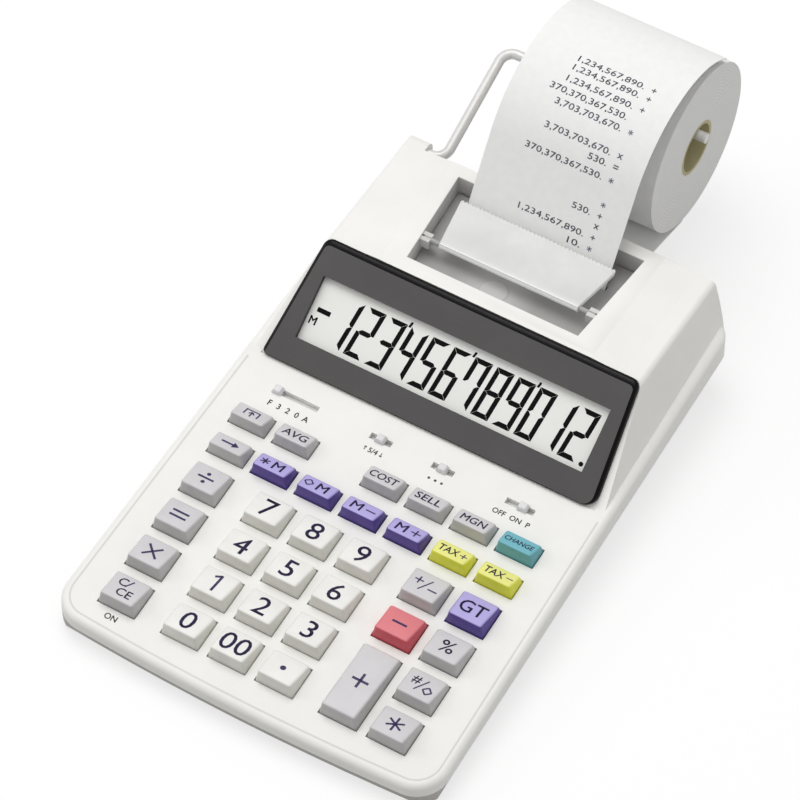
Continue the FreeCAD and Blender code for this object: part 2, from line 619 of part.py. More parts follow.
def lower_case():
    above = slab("above_parting", "-60", "0")
    form = cut("lower_form", common("lower_outer", plan("plan_lower", "0"),
                                    tub("tub_outer", "0", "foot_height", PARTING_REAR + " + 1")), above)
    hollow = common("lower_inner", plan("plan_lower_inner", "wall"),
                    tub("tub_inner", "wall", BASE_TOP, PARTING_REAR + " + 2"))
    shell = cut("lower_shell", form, hollow)
    extras = []
    for number, along in enumerate(RIBS):
        out = "%s - 12" % BOARD_FACE
        rib = box("board_rib_%d" % number, ("-board_width / 2.3", "board_width / 2.3"),
                  (along, "%s + rib_width" % along), (out, BOARD_FACE))
        rib = on_deck(rib, "-board_width / 2.3", along, out)
        keep = box("rib_keep_%d" % number, ("-case_width / 2", "case_width / 2"), ("0", "case_depth"),
                   ("foot_height + wall / 2", "housing_top"))
        extras.append(common("rib_%d" % number, rib, keep))
    extras.append(box("battery_deck", ("-%s - 3" % BATTERY_HALF, "%s + 3" % BATTERY_HALF),
                      ("battery_front - 3", BATTERY_REAR + " - wall"),
                      ("foot_height + 0.2", "foot_height + battery_thick + wall")))
    extras.append(box("battery_tray", ("-%s - wall" % BAY_HALF, "%s + wall" % BAY_HALF),
                      ("%s - wall" % BAY_FRONT, "%s + wall" % BAY_REAR),
                      ("foot_height + 0.2", "frame_floor")))
    solid = fuse("lower_with_ribs", shell, *extras)
    tools = [box("battery_recess", ("-%s - battery_gap" % BATTERY_HALF, "%s + battery_gap" % BATTERY_HALF),
                 ("battery_front - battery_gap", "case_depth + 10"),
                 ("0", "foot_height + battery_thick + battery_gap"))]
    tools.append(box("battery_bay", ("-" + BAY_HALF, BAY_HALF), (BAY_FRONT, BAY_REAR),
                     ("0", "frame_floor - wall")))
    for number, (x, y) in enumerate(POSTS):
        tools.append(post("head_bore_%d" % number, "screw_head + 0.2", x, y, ("0", HEAD_FACE)))
        tools.append(post("shank_bore_%d" % number, "screw_radius + 0.2", x, y, ("0", BASE_TOP + " + 1")))
    return piece("lower_case", in_case(cut("lower_case", solid, *tools)))


def battery_cover():
    half = BATTERY_HALF
    plate = box("battery_plate", ("-" + half, half), ("battery_front", BATTERY_REAR),
                ("foot_height", "foot_height + battery_thick"))
    ridges = [box("battery_ridge_%d" % i, ("-12", "12"), ("battery_front + 8 + %d" % (2 * i),
                                                          "battery_front + 9 + %d" % (2 * i)),
                  ("foot_height - 0.4", "foot_height + 0.2")) for i in range(4)]
    return piece("battery_cover", in_case(fuse("battery_cover", plate, *ridges)))


def case_screws():
    screws = []
    for number, (x, y) in enumerate(POSTS):
        head = post("screw_head_%d" % number, "screw_head", x, y, ("foot_height + 0.1", HEAD_FACE))
        shank = post("screw_shank_%d" % number, "screw_radius", x, y,
                     (HEAD_FACE, HEAD_FACE + " + screw_length"))
        screws.append(fuse("screw_%d" % number, head, shank))
    return piece("case_screws", in_case(group("case_screws", *screws)))


def rubber_feet():
    feet = []
    spots = [(x, y) for x in ("-foot_x", "foot_x") for y in ("foot_front", "foot_rear")]
    for number, (x, y) in enumerate(spots):
        feet.append(post("foot_%d" % number, "foot_radius", x, y, ("0", "foot_height")))
    return piece("rubber_feet", in_case(group("rubber_feet", *feet)))


# Display

def display_panel():
    """Dark plate on the slope of the housing, with the display opening."""
    low, top = "panel_low_width / 2", "panel_top_width / 2"
    body = padded("display_panel", "XY_Plane", [("-" + low, "0"), (low, "0"), (top, "panel_length"),
                                                ("-" + top, "panel_length")], "panel_thick")
    rounded(body, "panel_corners", "panel_corner", lambda edge: upright(edge) and abs(middle(edge).y) < 1e-6)
    plate = place(body, z="-panel_thick")
    window = box("window", ("-window_width / 2", "window_width / 2"),
                 ("window_low", "window_low + window_height"), ("-panel_thick - 1", "1"))
    return piece("display_panel", in_panel(cut("display_panel_cut", plate, window)))


def display_glass():
    glass = box("display_glass", ("-" + GLASS_X, GLASS_X), (GLASS_LOW, GLASS_HIGH),
                ("-panel_thick - glass_thick", "-panel_thick"))
    return piece("display_glass", in_panel(group("glass_plate", glass)))


# Key mat and board

def key_mat():
    mat = box("mat", ("-mat_width / 2", "mat_width / 2"), ("mat_front", "mat_front + mat_length"),
              ("-%s - mat_thick" % KEY_SEAT, "-" + KEY_SEAT))
    return piece("key_mat", in_deck(group("key_mat", mat)))


def main_board():
    board = box("board", ("-board_width / 2", "board_width / 2"),
                ("mat_front", "mat_front + mat_length + board_extra"),
                (BOARD_FACE, "%s + board_thick" % BOARD_FACE))
    return piece("main_board", in_deck(group("main_board", board)))


# Printer

def printer_cover():
    """Cover over the printer: plate on the housing, skirt in its opening, tapered recess through both."""
    half = "(cover_width / 2 - cover_inset - cover_gap)"
    skirt = box("cover_skirt_block", ("-" + half, half),
                ("cover_front + cover_inset + cover_gap", "case_depth - wall - cover_gap"),
                ("housing_top - cover_skirt", "housing_top"))
    plate = box("cover_plate", ("-cover_width / 2", "cover_width / 2"), ("cover_front", "case_depth"),
                ("housing_top", COVER_TOP))
    front, rear = "recess_front_width / 2", "recess_rear_width / 2"
    recess = padded("recess", "XY_Plane", [("-" + front, "recess_front"), (front, "recess_front"),
                                           (rear, "recess_rear"), ("-" + rear, "recess_rear")],
                    "housing_top + 10")
    side = "flap_width / 2"
    pins = [rod("flap_bore_%d" % i, "flap_pin + run_gap", ends, "flap_front", "housing_top - flap_pin")
            for i, ends in enumerate((("-%s - 4" % side, "-" + side), (side, "%s + 4" % side)))]
    ear_ends = (("-%s - 6" % side, "-%s - 0.3" % side), ("%s + 0.3" % side, "%s + 6" % side))
    ears = [box("flap_ear_%d" % i, ends, ("flap_front - 2", "flap_front + 2"),
                ("housing_top - 4", "housing_top")) for i, ends in enumerate(ear_ends)]
    solid = fuse("cover_with_ears", cut("cover_ring", fuse("cover_solid", skirt, plate), recess), *ears)
    return piece("printer_cover", in_case(cut("printer_cover", solid, *pins)))


def tear_flap():
    """Clear flap over the printing line: hinge pins at its front, tear edge at its back."""
    side = "flap_width / 2"
    plate = frustum("flap_plate", ("-" + side, side, "flap_front - flap_pin", "flap_rear - 1"),
                    ("-" + side, side, "flap_front - flap_pin", "flap_rear"),
                    ("housing_top - flap_thick / 2", "housing_top + flap_thick / 2"))
    barrel = rod("flap_barrel", "flap_pin + 0.4", ("-" + side, side), "flap_front", "housing_top - flap_pin")
    pins = rod("flap_pins", "flap_pin", ("-%s - 3" % side, "%s + 3" % side), "flap_front",
               "housing_top - flap_pin")
    return piece("tear_flap", in_case(fuse("tear_flap", plate, barrel, pins)))


SHAFT_LOW = "-(cheek_x + cheek_thick + 1)"
SHAFT_HIGH = "(cheek_x + cheek_thick + 1)"


def printer_frame():
    """Frame of the printer: floor, two side plates with shaft bores, apron ahead of the flap."""
    outer = "(cheek_x + cheek_thick)"
    rear = "(roller_y + roller_radius + 2)"
    front = "(ink_y - ink_radius - 1.5)"
    floor = box("frame_floor_plate", ("-" + outer, outer), (front, rear),
                ("frame_floor", "frame_floor + wall"))
    cheeks = [box("cheek_%d" % i, ends, (front, rear), ("frame_floor", "frame_top"))
              for i, ends in enumerate((("-" + outer, "-cheek_x"), ("cheek_x", outer)))]
    apron = box("apron", ("-cheek_x - 0.5", "cheek_x + 0.5"), ("recess_front + 0.5", "flap_front + 1"),
                ("frame_top - apron_height", "frame_top"))
    bores = [rod("shaft_bore_%d" % i, "shaft_radius + run_gap", ("-cheek_x - 10", "cheek_x + 10"), y,
                 "roller_z") for i, y in enumerate(("roller_y", "wheel_y", "ink_y"))]
    solid = fuse("frame_solid", floor, apron, *cheeks)
    return piece("printer_frame", in_case(cut("printer_frame", solid, *bores)))


def roller(name, radius, y, grooves=0):
    """Roller on its shaft between the side plates of the printer, with grooves between its bands."""
    half = "roller_length / 2"
    drum = rod(name + "_drum", radius, ("-" + half, half), y, "roller_z")
    shaft = rod(name + "_shaft", "shaft_radius", (SHAFT_LOW, SHAFT_HIGH), y, "roller_z")
    if grooves:
        rings = []
        for number in range(grooves):
            middle_x = "roller_length * (%d / %d - 0.5)" % (number + 1, grooves + 1)
            ring = cut("%s_ring_%d" % (name, number),
                       rod("%s_band_%d" % (name, number), radius + " + 1",
                           (middle_x + " - 0.4", middle_x + " + 0.4"), y, "roller_z"),
                       rod("%s_neck_%d" % (name, number), radius + " - 0.8",
                           (middle_x + " - 1", middle_x + " + 1"), y, "roller_z"))
            rings.append(ring)
        drum = cut(name + "_banded", drum, *rings)
    return piece(name, in_case(fuse(name, drum, shaft)))


# Paper and its holder

def tube(name, outer, inner):
    """Ring round the axis of the paper roll, as wide as the paper."""
    half = "paper_width / 2"
    return cut(name, rod(name + "_outside", outer, ("-" + half, half), "roll_y", "roll_z"),
               rod(name + "_inside", inner, ("-%s - 1" % half, "%s + 1" % half), "roll_y", "roll_z"))


def paper_roll():
    return piece("paper_roll", in_case(tube("paper_roll", "roll_radius", "core_radius + core_fit")))


def paper_core():
    return piece("paper_core", in_case(tube("paper_core", "core_radius", "core_bore")))


SHEET_RING = "(roll_radius + paper_gap + paper_thick / 2)"
SHEET_REACH = "sqrt((roll_y - web_y)^2 + (roll_z - web_z)^2)"
SHEET_ANGLE = "(atan((roll_z - web_z) / (roll_y - web_y)) - asin(%s / %s))" % (SHEET_RING, SHEET_REACH)
SHEET_LENGTH = "sqrt((%s)^2 - (%s)^2)" % (SHEET_REACH, SHEET_RING)


def feed_paper():
    """Paper from the under side of the roll, which it leaves at a tangent, to the slot in the rear wall."""
    half, thick = "paper_width / 2", "paper_thick / 2"
    sheet_of_paper = box("feed_sheet", ("-" + half, half), ("0", SHEET_LENGTH), ("-" + thick, thick))
    place(sheet_of_paper, "-" + half, "web_y + %s * sin(%s)" % (thick, SHEET_ANGLE),
          "web_z - %s * cos(%s)" % (thick, SHEET_ANGLE), tilt=SHEET_ANGLE)
    return piece("feed_paper", in_case(group("feed_paper", sheet_of_paper)))


def strip_line(offset):
    """One face of the printed strip: round the feed roller, up out of the printer, over in a free curl."""
    def spot(y, z):
        return V(-value("paper_width") / 2, y, z)

    def on_circle(y, z, radius, angle):
        return spot(y + radius * math.cos(angle), z + radius * math.sin(angle))

    turn = value("roller_radius + paper_gap + paper_thick / 2") + offset
    roller_y, roller_z = value("roller_y"), value("roller_z")
    climb = math.radians(value("strip_angle"))
    below = on_circle(roller_y, roller_z, turn, -math.pi / 2)
    ahead = on_circle(roller_y, roller_z, turn, math.pi)
    leave = on_circle(roller_y, roller_z, turn, math.pi / 2 + climb)
    curl_y, curl_z = value("curl_y"), value("curl_z")
    curl = (curl_y - leave.y) * math.sin(climb) - (curl_z - leave.z) * math.cos(climb)
    first, last = math.pi / 2 + climb, math.radians(value("curl_end"))
    lift = on_circle(curl_y, curl_z, curl, first)
    crest = on_circle(curl_y, curl_z, curl, (first + last) / 2)
    end = on_circle(curl_y, curl_z, curl, last)
    start = spot(value("strip_start"), below.z)
    return start, end, [Part.LineSegment(start, below).toShape(), Part.Arc(below, ahead, leave).toShape(),
                        Part.LineSegment(leave, lift).toShape(), Part.Arc(lift, crest, end).toShape()]


def printed_strip():
    """Band of paper between two such lines."""
    half = value("paper_thick") / 2
    outer_start, outer_end, outer = strip_line(half)
    inner_start, inner_end, inner = strip_line(-half)
    ends = [Part.LineSegment(outer_start, inner_start).toShape(),
            Part.LineSegment(outer_end, inner_end).toShape()]
    profile = Part.Wire(Part.__sortEdges__(outer + inner + ends))
    item = doc.addObject("Part::Feature", "printed_strip")
    item.Shape = Part.Face(profile).extrude(V(value("paper_width"), 0, 0))
    return piece("printed_strip", in_case(item))


def roll_holder():
    """Bent wire: foot in the knuckle of the case, leg, and arm through the core of the roll."""
    bend = value("wire_bend")
    corners = [V(value(KNUCKLE_LOW + " + 1.2"), value("hinge_y"), value("hinge_z")),
               V(value("wire_x"), value("hinge_y"), value("hinge_z")),
               V(value("wire_x"), value("roll_y"), value(WIRE_Z)),
               V(value("wire_tip"), value("roll_y"), value(WIRE_Z))]
    edges = []
    start = corners[0]
    for before, corner, after in zip(corners, corners[1:], corners[2:]):
        back = (before - corner).normalize()
        ahead = (after - corner).normalize()
        half = back.getAngle(ahead) / 2
        reach = bend / math.tan(half)
        into, out = corner + back * reach, corner + ahead * reach
        inward = (back + ahead).normalize()
        halfway = corner + inward * (bend / math.sin(half) - bend)
        edges += [Part.LineSegment(start, into).toShape(), Part.Arc(into, halfway, out).toShape()]
        start = out
    edges.append(Part.LineSegment(start, corners[-1]).toShape())
    ring = Part.Wire(Part.Circle(corners[0], V(1, 0, 0), value("wire_radius")).toShape())
    item = doc.addObject("Part::Feature", "roll_holder")
    item.Shape = Part.Wire(edges).makePipeShell([ring], True, False)
    return piece("roll_holder", in_case(item))


for entry in KEYS:
    key(*entry)
for entry in SWITCHES:
    switch(*entry)
upper_case()
lower_case()
display_panel()
display_glass()
key_mat()
main_board()
printer_cover()
tear_flap()
printer_frame()
roller("feed_roller", "roller_radius", "roller_y")
roller("print_wheel", "wheel_radius", "wheel_y", grooves=3)
roller("ink_roller", "ink_radius", "ink_y")
paper_roll()
paper_core()
feed_paper()
printed_strip()
roll_holder()
battery_cover()
rubber_feet()
case_screws()

doc.recompute()
for item in doc.Objects:
    if "Invalid" in item.State or "Error" in item.State:
        raise RuntimeError("%s did not build: %s" % (item.Label, item.State))
os.makedirs("parts", exist_ok=True)
for name, item in SUBPARTS.items():
    shape = item.Shape
    if shape.isNull() or not shape.isValid():
        raise RuntimeError("%s is not a valid solid" % name)
    print("%-18s %2d solids %10.1f mm3" % (name, len(shape.Solids), shape.Volume))
    shape.exportStep("parts/%s.step" % name)
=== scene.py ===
import json
import math

import bmesh
import bpy
from mathutils import Matrix, Vector


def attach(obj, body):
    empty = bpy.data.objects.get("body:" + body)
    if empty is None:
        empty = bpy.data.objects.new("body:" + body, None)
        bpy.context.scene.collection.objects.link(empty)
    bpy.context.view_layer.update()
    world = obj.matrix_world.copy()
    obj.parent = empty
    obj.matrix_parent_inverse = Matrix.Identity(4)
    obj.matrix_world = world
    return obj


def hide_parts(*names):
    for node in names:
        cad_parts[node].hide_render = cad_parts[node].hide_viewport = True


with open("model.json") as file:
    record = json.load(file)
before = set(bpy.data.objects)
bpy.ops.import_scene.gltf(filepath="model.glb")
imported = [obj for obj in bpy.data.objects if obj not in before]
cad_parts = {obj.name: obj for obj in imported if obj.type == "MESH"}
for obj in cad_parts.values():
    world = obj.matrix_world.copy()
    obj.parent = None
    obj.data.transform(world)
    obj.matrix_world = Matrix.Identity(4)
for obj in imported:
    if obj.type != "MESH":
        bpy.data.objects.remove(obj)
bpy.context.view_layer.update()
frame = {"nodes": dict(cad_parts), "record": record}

# Looks of a printing desk calculator. Case axes in millimetres: x right, y back from the front
# reference line, z up. The shared frame has its origin ORIGIN_Y behind that line.
MM = 0.001
ORIGIN_Y = 145.246
DECK_TILT = math.radians(5.0)
DECK_FRONT = 11.1
PANEL_TILT = math.radians(34.0)
PANEL_Y, PANEL_Z = 121.6, 23.0
INK_LIFT = 0.04


def from_case(y, z, tilt):
    """Matrix from millimetres on a plane tipped up about x to metres in the shared frame."""
    return Matrix.Scale(MM, 4) @ Matrix.Translation((0, y - ORIGIN_Y, z)) @ Matrix.Rotation(tilt, 4, "X")


ON_DECK = from_case(0, DECK_FRONT, DECK_TILT)
ON_PANEL = from_case(PANEL_Y, PANEL_Z, PANEL_TILT)


def linear(rgb):
    """Linear colour from 0 to 255 display values."""
    return tuple((c / 255 / 12.92) if c <= 10 else ((c / 255 + 0.055) / 1.055) ** 2.4 for c in rgb)


# Materials

NOISE_LOW, NOISE_HIGH, ROUGH_SPREAD, GRAIN_DEPTH = 0.3, 0.7, 0.05, 0.00005


class Shader:
    """Node tree of one material, with a Principled BSDF at its end."""

    def __init__(self, name):
        self.material = bpy.data.materials.new(name)
        self.material.use_nodes = True
        self.nodes = self.material.node_tree.nodes
        self.bsdf = self.nodes["Principled BSDF"]
        self.place = self.add("ShaderNodeTexCoord").outputs["Object"]

    def add(self, kind, **settings):
        """New node with its settings."""
        node = self.nodes.new(kind)
        for key, setting in settings.items():
            setattr(node, key, setting)
        return node

    def link(self, output, socket):
        self.material.node_tree.links.new(output, socket)

    def noise(self, scale, detail=3.0, place=None):
        node = self.add("ShaderNodeTexNoise")
        node.inputs["Scale"].default_value = scale
        node.inputs["Detail"].default_value = detail
        self.link(place or self.place, node.inputs["Vector"])
        return node.outputs["Fac"]

    def mapped(self, value, low, high, to_low, to_high):
        """Carry a range of values over to another."""
        node = self.add("ShaderNodeMapRange")
        limits = {"From Min": low, "From Max": high, "To Min": to_low, "To Max": to_high}
        for socket, number in limits.items():
            node.inputs[socket].default_value = number
        self.link(value, node.inputs["Value"])
        return node.outputs["Result"]

    def spread(self, noise, low=0.0, high=1.0):
        """Stretch the middle of a noise to a range."""
        return self.mapped(noise, NOISE_LOW, NOISE_HIGH, low, high)

    def rough(self, scale, middle):
        """Roughness that drifts about a middle value."""
        drift = self.spread(self.noise(scale), middle - ROUGH_SPREAD, middle + ROUGH_SPREAD)
        self.link(drift, self.bsdf.inputs["Roughness"])

    def constant(self, **numbers):
        """Set numbers on the shader's own sockets, with _ for a space in their names."""
        for socket, number in numbers.items():
            self.bsdf.inputs[socket.replace("_", " ")].default_value = number

    def colour(self, output):
        self.link(output, self.bsdf.inputs["Base Color"])

    def base(self):
        """Output that the base colour comes from."""
        return self.bsdf.inputs["Base Color"].links[0].from_socket

    def parts(self, vector):
        """Outputs X, Y and Z of a vector."""
        node = self.add("ShaderNodeSeparateXYZ")
        self.link(vector, node.inputs[0])
        return node.outputs

    def maths(self, operation, first, second=None):
        """One operation on an output, with a number or another output as its second value."""
        node = self.add("ShaderNodeMath", operation=operation)
        self.link(first, node.inputs[0])
        if isinstance(second, float):
            node.inputs[1].default_value = second
        elif second is not None:
            self.link(second, node.inputs[1])
        return node.outputs["Value"]

    def blend(self, factor, first, second):
        """Mix two shaders into the material's surface."""
        node = self.add("ShaderNodeMixShader")
        self.link(factor, node.inputs["Fac"])
        self.link(first.outputs["BSDF"], node.inputs[1])
        self.link(second.outputs["BSDF"], node.inputs[2])
        self.link(node.outputs["Shader"], self.nodes["Material Output"].inputs["Surface"])

    def mix(self, factor, first, second):
        """Mix two colours, each a tuple or an output."""
        node = self.add("ShaderNodeMix", data_type="RGBA")
        self.link(factor, node.inputs["Factor"])
        for socket, colour in ((node.inputs[6], first), (node.inputs[7], second)):
            if isinstance(colour, tuple):
                socket.default_value = (*colour, 1)
            else:
                self.link(colour, socket)
        return node.outputs[2]

    def grain(self, scale, strength):
        """Fine bumps all over the surface."""
        bump = self.add("ShaderNodeBump")
        bump.inputs["Strength"].default_value = strength
        bump.inputs["Distance"].default_value = GRAIN_DEPTH
        self.link(self.noise(scale, 2.0), bump.inputs["Height"])
        self.link(bump.outputs["Normal"], self.bsdf.inputs["Normal"])


def shade(colour, factor):
    """A colour made darker or paler."""
    return tuple(min(1.0, c * factor) for c in colour)


def plain(name, rgb, rough=0.5, vary=0.05, cloud=60.0, grain=1800.0, bump=0.12, metal=0.0, specular=0.4):
    """Moulded or rolled surface: slow drift of tone, fine grain."""
    s = Shader(name)
    colour = linear(rgb)
    s.colour(s.mix(s.spread(s.noise(cloud)), shade(colour, 1 - vary), shade(colour, 1 + vary)))
    s.rough(grain / 3, rough)
    s.constant(Metallic=metal, Specular_IOR_Level=specular)
    s.grain(grain, bump)
    return s


# Upward share of the normal on the sides and on the top of a key, between which the painted light turns from
# the shaded side tone to the lit top tone
UPRIGHT, LEVEL = 0.55, 0.92


def two_tone(name, lit_top_rgb, shaded_side_rgb, rough=0.42):
    """Key plastic with painted light: a paler top as if lit from above, a deeper, shaded colour on the
    upright faces.
    """
    s = Shader(name)
    normal = s.parts(s.add("ShaderNodeNewGeometry").outputs["Normal"])
    top_light_mask = s.mapped(normal["Z"], UPRIGHT, LEVEL, 0.0, 1.0)
    tone = s.spread(s.noise(150.0))
    top, side = linear(lit_top_rgb), linear(shaded_side_rgb)
    s.colour(s.mix(top_light_mask, s.mix(tone, shade(side, 0.95), shade(side, 1.05)),
                   s.mix(tone, shade(top, 0.97), shade(top, 1.03))))
    s.rough(700.0, rough)
    s.grain(2500.0, 0.08)
    return s.material


# Heights in metres between which the cover turns from grey to white
PLATE_LOW, PLATE_HIGH = 0.04725, 0.04745


def cover_material():
    """White cover whose recess walls, below its top plate, are grey."""
    s = plain("cover_white", (243, 242, 238), rough=0.46, vary=0.02, bump=0.10)
    below = s.mapped(s.parts(s.place)["Z"], PLATE_LOW, PLATE_HIGH, 1.0, 0.0)
    grey = s.mix(s.noise(60.0), linear((206, 205, 203)), linear((216, 215, 212)))
    s.colour(s.mix(below, s.base(), grey))
    return s.material


# Share of the normal along the panel's own on its rim and on its face
RIM_FACING, FACE_FACING = 0.90, 0.97


def panel_material():
    """Dark grey face with polished black rims."""
    s = plain("panel_dark", (84, 82, 82), rough=0.40, vary=0.05, bump=0.05)
    facing = s.add("ShaderNodeVectorMath", operation="DOT_PRODUCT")
    facing.inputs[1].default_value = (0, -math.sin(PANEL_TILT), math.cos(PANEL_TILT))
    s.link(s.add("ShaderNodeNewGeometry").outputs["True Normal"], facing.inputs[0])
    rim = s.mapped(facing.outputs["Value"], RIM_FACING, FACE_FACING, 1.0, 0.0)
    black = s.mix(s.noise(200.0), linear((18, 18, 19)), linear((30, 29, 30)))
    s.colour(s.mix(rim, s.base(), black))
    return s.material


WHITE = plain("case_white", (243, 242, 238), rough=0.46, vary=0.02, bump=0.10).material
GREY = plain("case_grey", (186, 184, 180), rough=0.55, vary=0.03, bump=0.14).material
COVER = cover_material()
DARK = panel_material()
BLACK = plain("panel_edge", (8, 8, 9), rough=0.30, vary=0.08, bump=0.04, specular=0.15).material
GLASS = plain("display_glass", (246, 246, 242), rough=0.22, vary=0.02, cloud=25.0, bump=0.02).material
SEGMENT = plain("display_segments", (8, 8, 9), rough=0.6, vary=0.06, bump=0.02, specular=0.1).material
INK = plain("legend_ink", (56, 48, 92), rough=0.5, vary=0.10, cloud=400.0, bump=0.03).material
LABEL = plain("label_ink", (70, 70, 78), rough=0.5, vary=0.10, cloud=400.0, bump=0.03).material
PRINT = plain("printer_ink", (132, 132, 146), rough=0.7, vary=0.25, cloud=900.0, bump=0.03).material
MAT_RUBBER = plain("key_mat", (120, 120, 122), rough=0.8, vary=0.08).material
FRAME_GREY = plain("frame_grey", (178, 177, 174), rough=0.5, vary=0.06).material
RUBBER = plain("roller_rubber", (48, 47, 47), rough=0.85, vary=0.12).material
TYPE = plain("wheel_dark", (62, 62, 66), rough=0.5, vary=0.1).material
FELT = plain("ink_felt", (62, 48, 104), rough=0.95, vary=0.2, bump=0.6, grain=3500.0).material
OLIVE = plain("core_olive", (196, 188, 148), rough=0.7, vary=0.1).material
FOOT = plain("foot_rubber", (42, 41, 41), rough=0.9, vary=0.12).material
# Painted highlight: opaque near-white for the clear flap's front edge and hinge barrel
FLAP_EDGE_HIGHLIGHT = plain("flap_edge_highlight", (252, 252, 252), rough=0.25, vary=0.02, bump=0.03).material
# Painted shade for the fine line where the deck meets its eased edge, a little darker than the case white
EDGE_SHADE = plain("edge_line", (220, 219, 214), rough=0.5, vary=0.03).material
SWITCH = plain("switch_grey", (226, 225, 226), rough=0.45, vary=0.03).material
STEEL = plain("screw_steel", (175, 175, 176), rough=0.35, vary=0.08, metal=1.0).material


def board_material():
    """Coated board with a pattern of tracks."""
    s = Shader("board_green")
    cells = s.add("ShaderNodeTexBrick")
    cells.inputs["Scale"].default_value = 160.0
    cells.inputs["Color1"].default_value = (*linear((24, 92, 56)), 1)
    cells.inputs["Color2"].default_value = (*linear((30, 104, 64)), 1)
    cells.inputs["Mortar"].default_value = (*linear((58, 132, 84)), 1)
    s.link(s.place, cells.inputs["Vector"])
    s.colour(cells.outputs["Color"])
    s.constant(Roughness=0.3)
    s.grain(1500.0, 0.1)
    return s.material


def wire_material():
    """Satin nickel with fine lines round the wire."""
    s = Shader("holder_wire")
    stretch = s.add("ShaderNodeMapping")
    stretch.inputs["Scale"].default_value = (900.0, 40.0, 40.0)
    s.link(s.place, stretch.inputs["Vector"])
    lines = s.noise(1.0, 4.0, stretch.outputs["Vector"])
    s.colour(s.mix(lines, linear((212, 211, 209)), linear((236, 235, 233))))
    s.link(s.spread(lines, 0.38, 0.5), s.bsdf.inputs["Roughness"])
    s.constant(Metallic=0.25)
    return s.material


# Rings of the wound paper: radians for each metre of radius, and strength
RING_PHASE, RING_SHARE = 5200.0, 0.45


def paper_material(name, axis=None):
    """Plain paper with faint fibres. With an axis (y, z), the wound edges show as rings round it."""
    s = Shader(name)
    colour = linear((247, 247, 246))
    base = s.mix(s.spread(s.noise(350.0, 5.0)), shade(colour, 0.965), colour)
    if axis:
        centred = s.add("ShaderNodeMapping")
        centred.inputs["Location"].default_value = (0, -(axis[0] - ORIGIN_Y) * MM, -axis[1] * MM)
        s.link(s.place, centred.inputs["Vector"])
        flat = s.add("ShaderNodeVectorMath", operation="MULTIPLY")
        flat.inputs[1].default_value = (0, 1, 1)
        s.link(centred.outputs["Vector"], flat.inputs[0])
        radius = s.add("ShaderNodeVectorMath", operation="LENGTH")
        s.link(flat.outputs["Vector"], radius.inputs[0])
        turns = s.maths("SINE", s.maths("MULTIPLY", radius.outputs["Value"], RING_PHASE))
        rings = s.mapped(turns, -1.0, 1.0, 0.0, 1.0)
        normal = s.parts(s.add("ShaderNodeNewGeometry").outputs["Normal"])
        edge = s.maths("MULTIPLY", s.maths("ABSOLUTE", normal["X"]), rings)
        base = s.mix(s.mapped(edge, 0.0, 1.0, 0.0, RING_SHARE), base, linear((228, 226, 218)))
    s.colour(base)
    s.constant(Roughness=0.75, Specular_IOR_Level=0.25)
    s.grain(1600.0, 0.12)
    return s.material


def clear_material():
    """Clear moulded plastic: mostly see-through, a pale tint, a soft shine and faint moulding streaks."""
    s = Shader("flap_clear")
    through = s.add("ShaderNodeBsdfTransparent")
    through.inputs["Color"].default_value = (0.97, 0.98, 0.98, 1)
    s.colour(s.mix(s.noise(90.0), linear((246, 246, 245)), linear((252, 252, 251))))
    s.constant(Roughness=0.12)
    s.blend(s.spread(s.noise(45.0), 0.58, 0.70), through, s.bsdf)
    return s.material


# Middle of the thumb mark, and the metres to its side between which the paler grey fades
THUMB_X, PALE_NEAR, PALE_FAR = -3.7, 0.006, 0.016


def guard_material():
    """Grey moulding, paler around the thumb mark."""
    s = plain("guard_grey", (168, 167, 166), rough=0.45, vary=0.04)
    away = s.maths("ABSOLUTE", s.maths("SUBTRACT", s.parts(s.place)["X"], THUMB_X * MM))
    middle = s.mapped(away, PALE_NEAR, PALE_FAR, 1.0, 0.0)
    s.colour(s.mix(middle, s.base(), linear((192, 191, 190))))
    return s.material


GUARD_GREY = guard_material()
THUMB_GREY = plain("thumb_grey", (200, 199, 198), rough=0.42, vary=0.04).material
CLEAR = clear_material()
ROLL_AXIS = (259.3, 50.5)
NODE_MATERIALS = {
    "upper_case": WHITE, "lower_case": GREY, "display_panel": DARK, "display_glass": GLASS,
    "key_mat": MAT_RUBBER, "main_board": board_material(), "printer_cover": COVER, "tear_flap": CLEAR,
    "printer_frame": FRAME_GREY, "feed_roller": RUBBER, "print_wheel": TYPE, "ink_roller": FELT,
    "paper_roll": paper_material("roll_paper", ROLL_AXIS), "paper_core": OLIVE,
    "feed_paper": paper_material("web_paper"), "printed_strip": paper_material("strip_paper"),
    "roll_holder": wire_material(), "battery_cover": GREY, "rubber_feet": FOOT, "case_screws": STEEL,
    "switch_decimal": SWITCH, "switch_rounding": SWITCH, "switch_total": SWITCH, "switch_power": SWITCH,
}
SOFT_EDGES = {"printer_cover": 0.4, "battery_cover": 0.3, "printer_frame": 0.3, "switch_decimal": 0.3,
              "switch_rounding": 0.3, "switch_total": 0.3, "switch_power": 0.3}
ROUNDED = {"upper_case", "lower_case", "display_panel", "tear_flap", "roll_holder", "paper_roll",
           "paper_core", "feed_roller", "print_wheel", "ink_roller", "rubber_feet", "case_screws",
           "printed_strip"}
WELD_GAP, EASE_STEPS = 1e-6, 2
FLAT_ANGLE, EASE_ANGLE, ROUND_ANGLE = math.radians(0.3), math.radians(40), math.radians(32)


def split_edges(item, angle=EASE_ANGLE):
    """Split the edges that stay crisp under smooth shading."""
    item.modifiers.new("edges", "EDGE_SPLIT").split_angle = angle


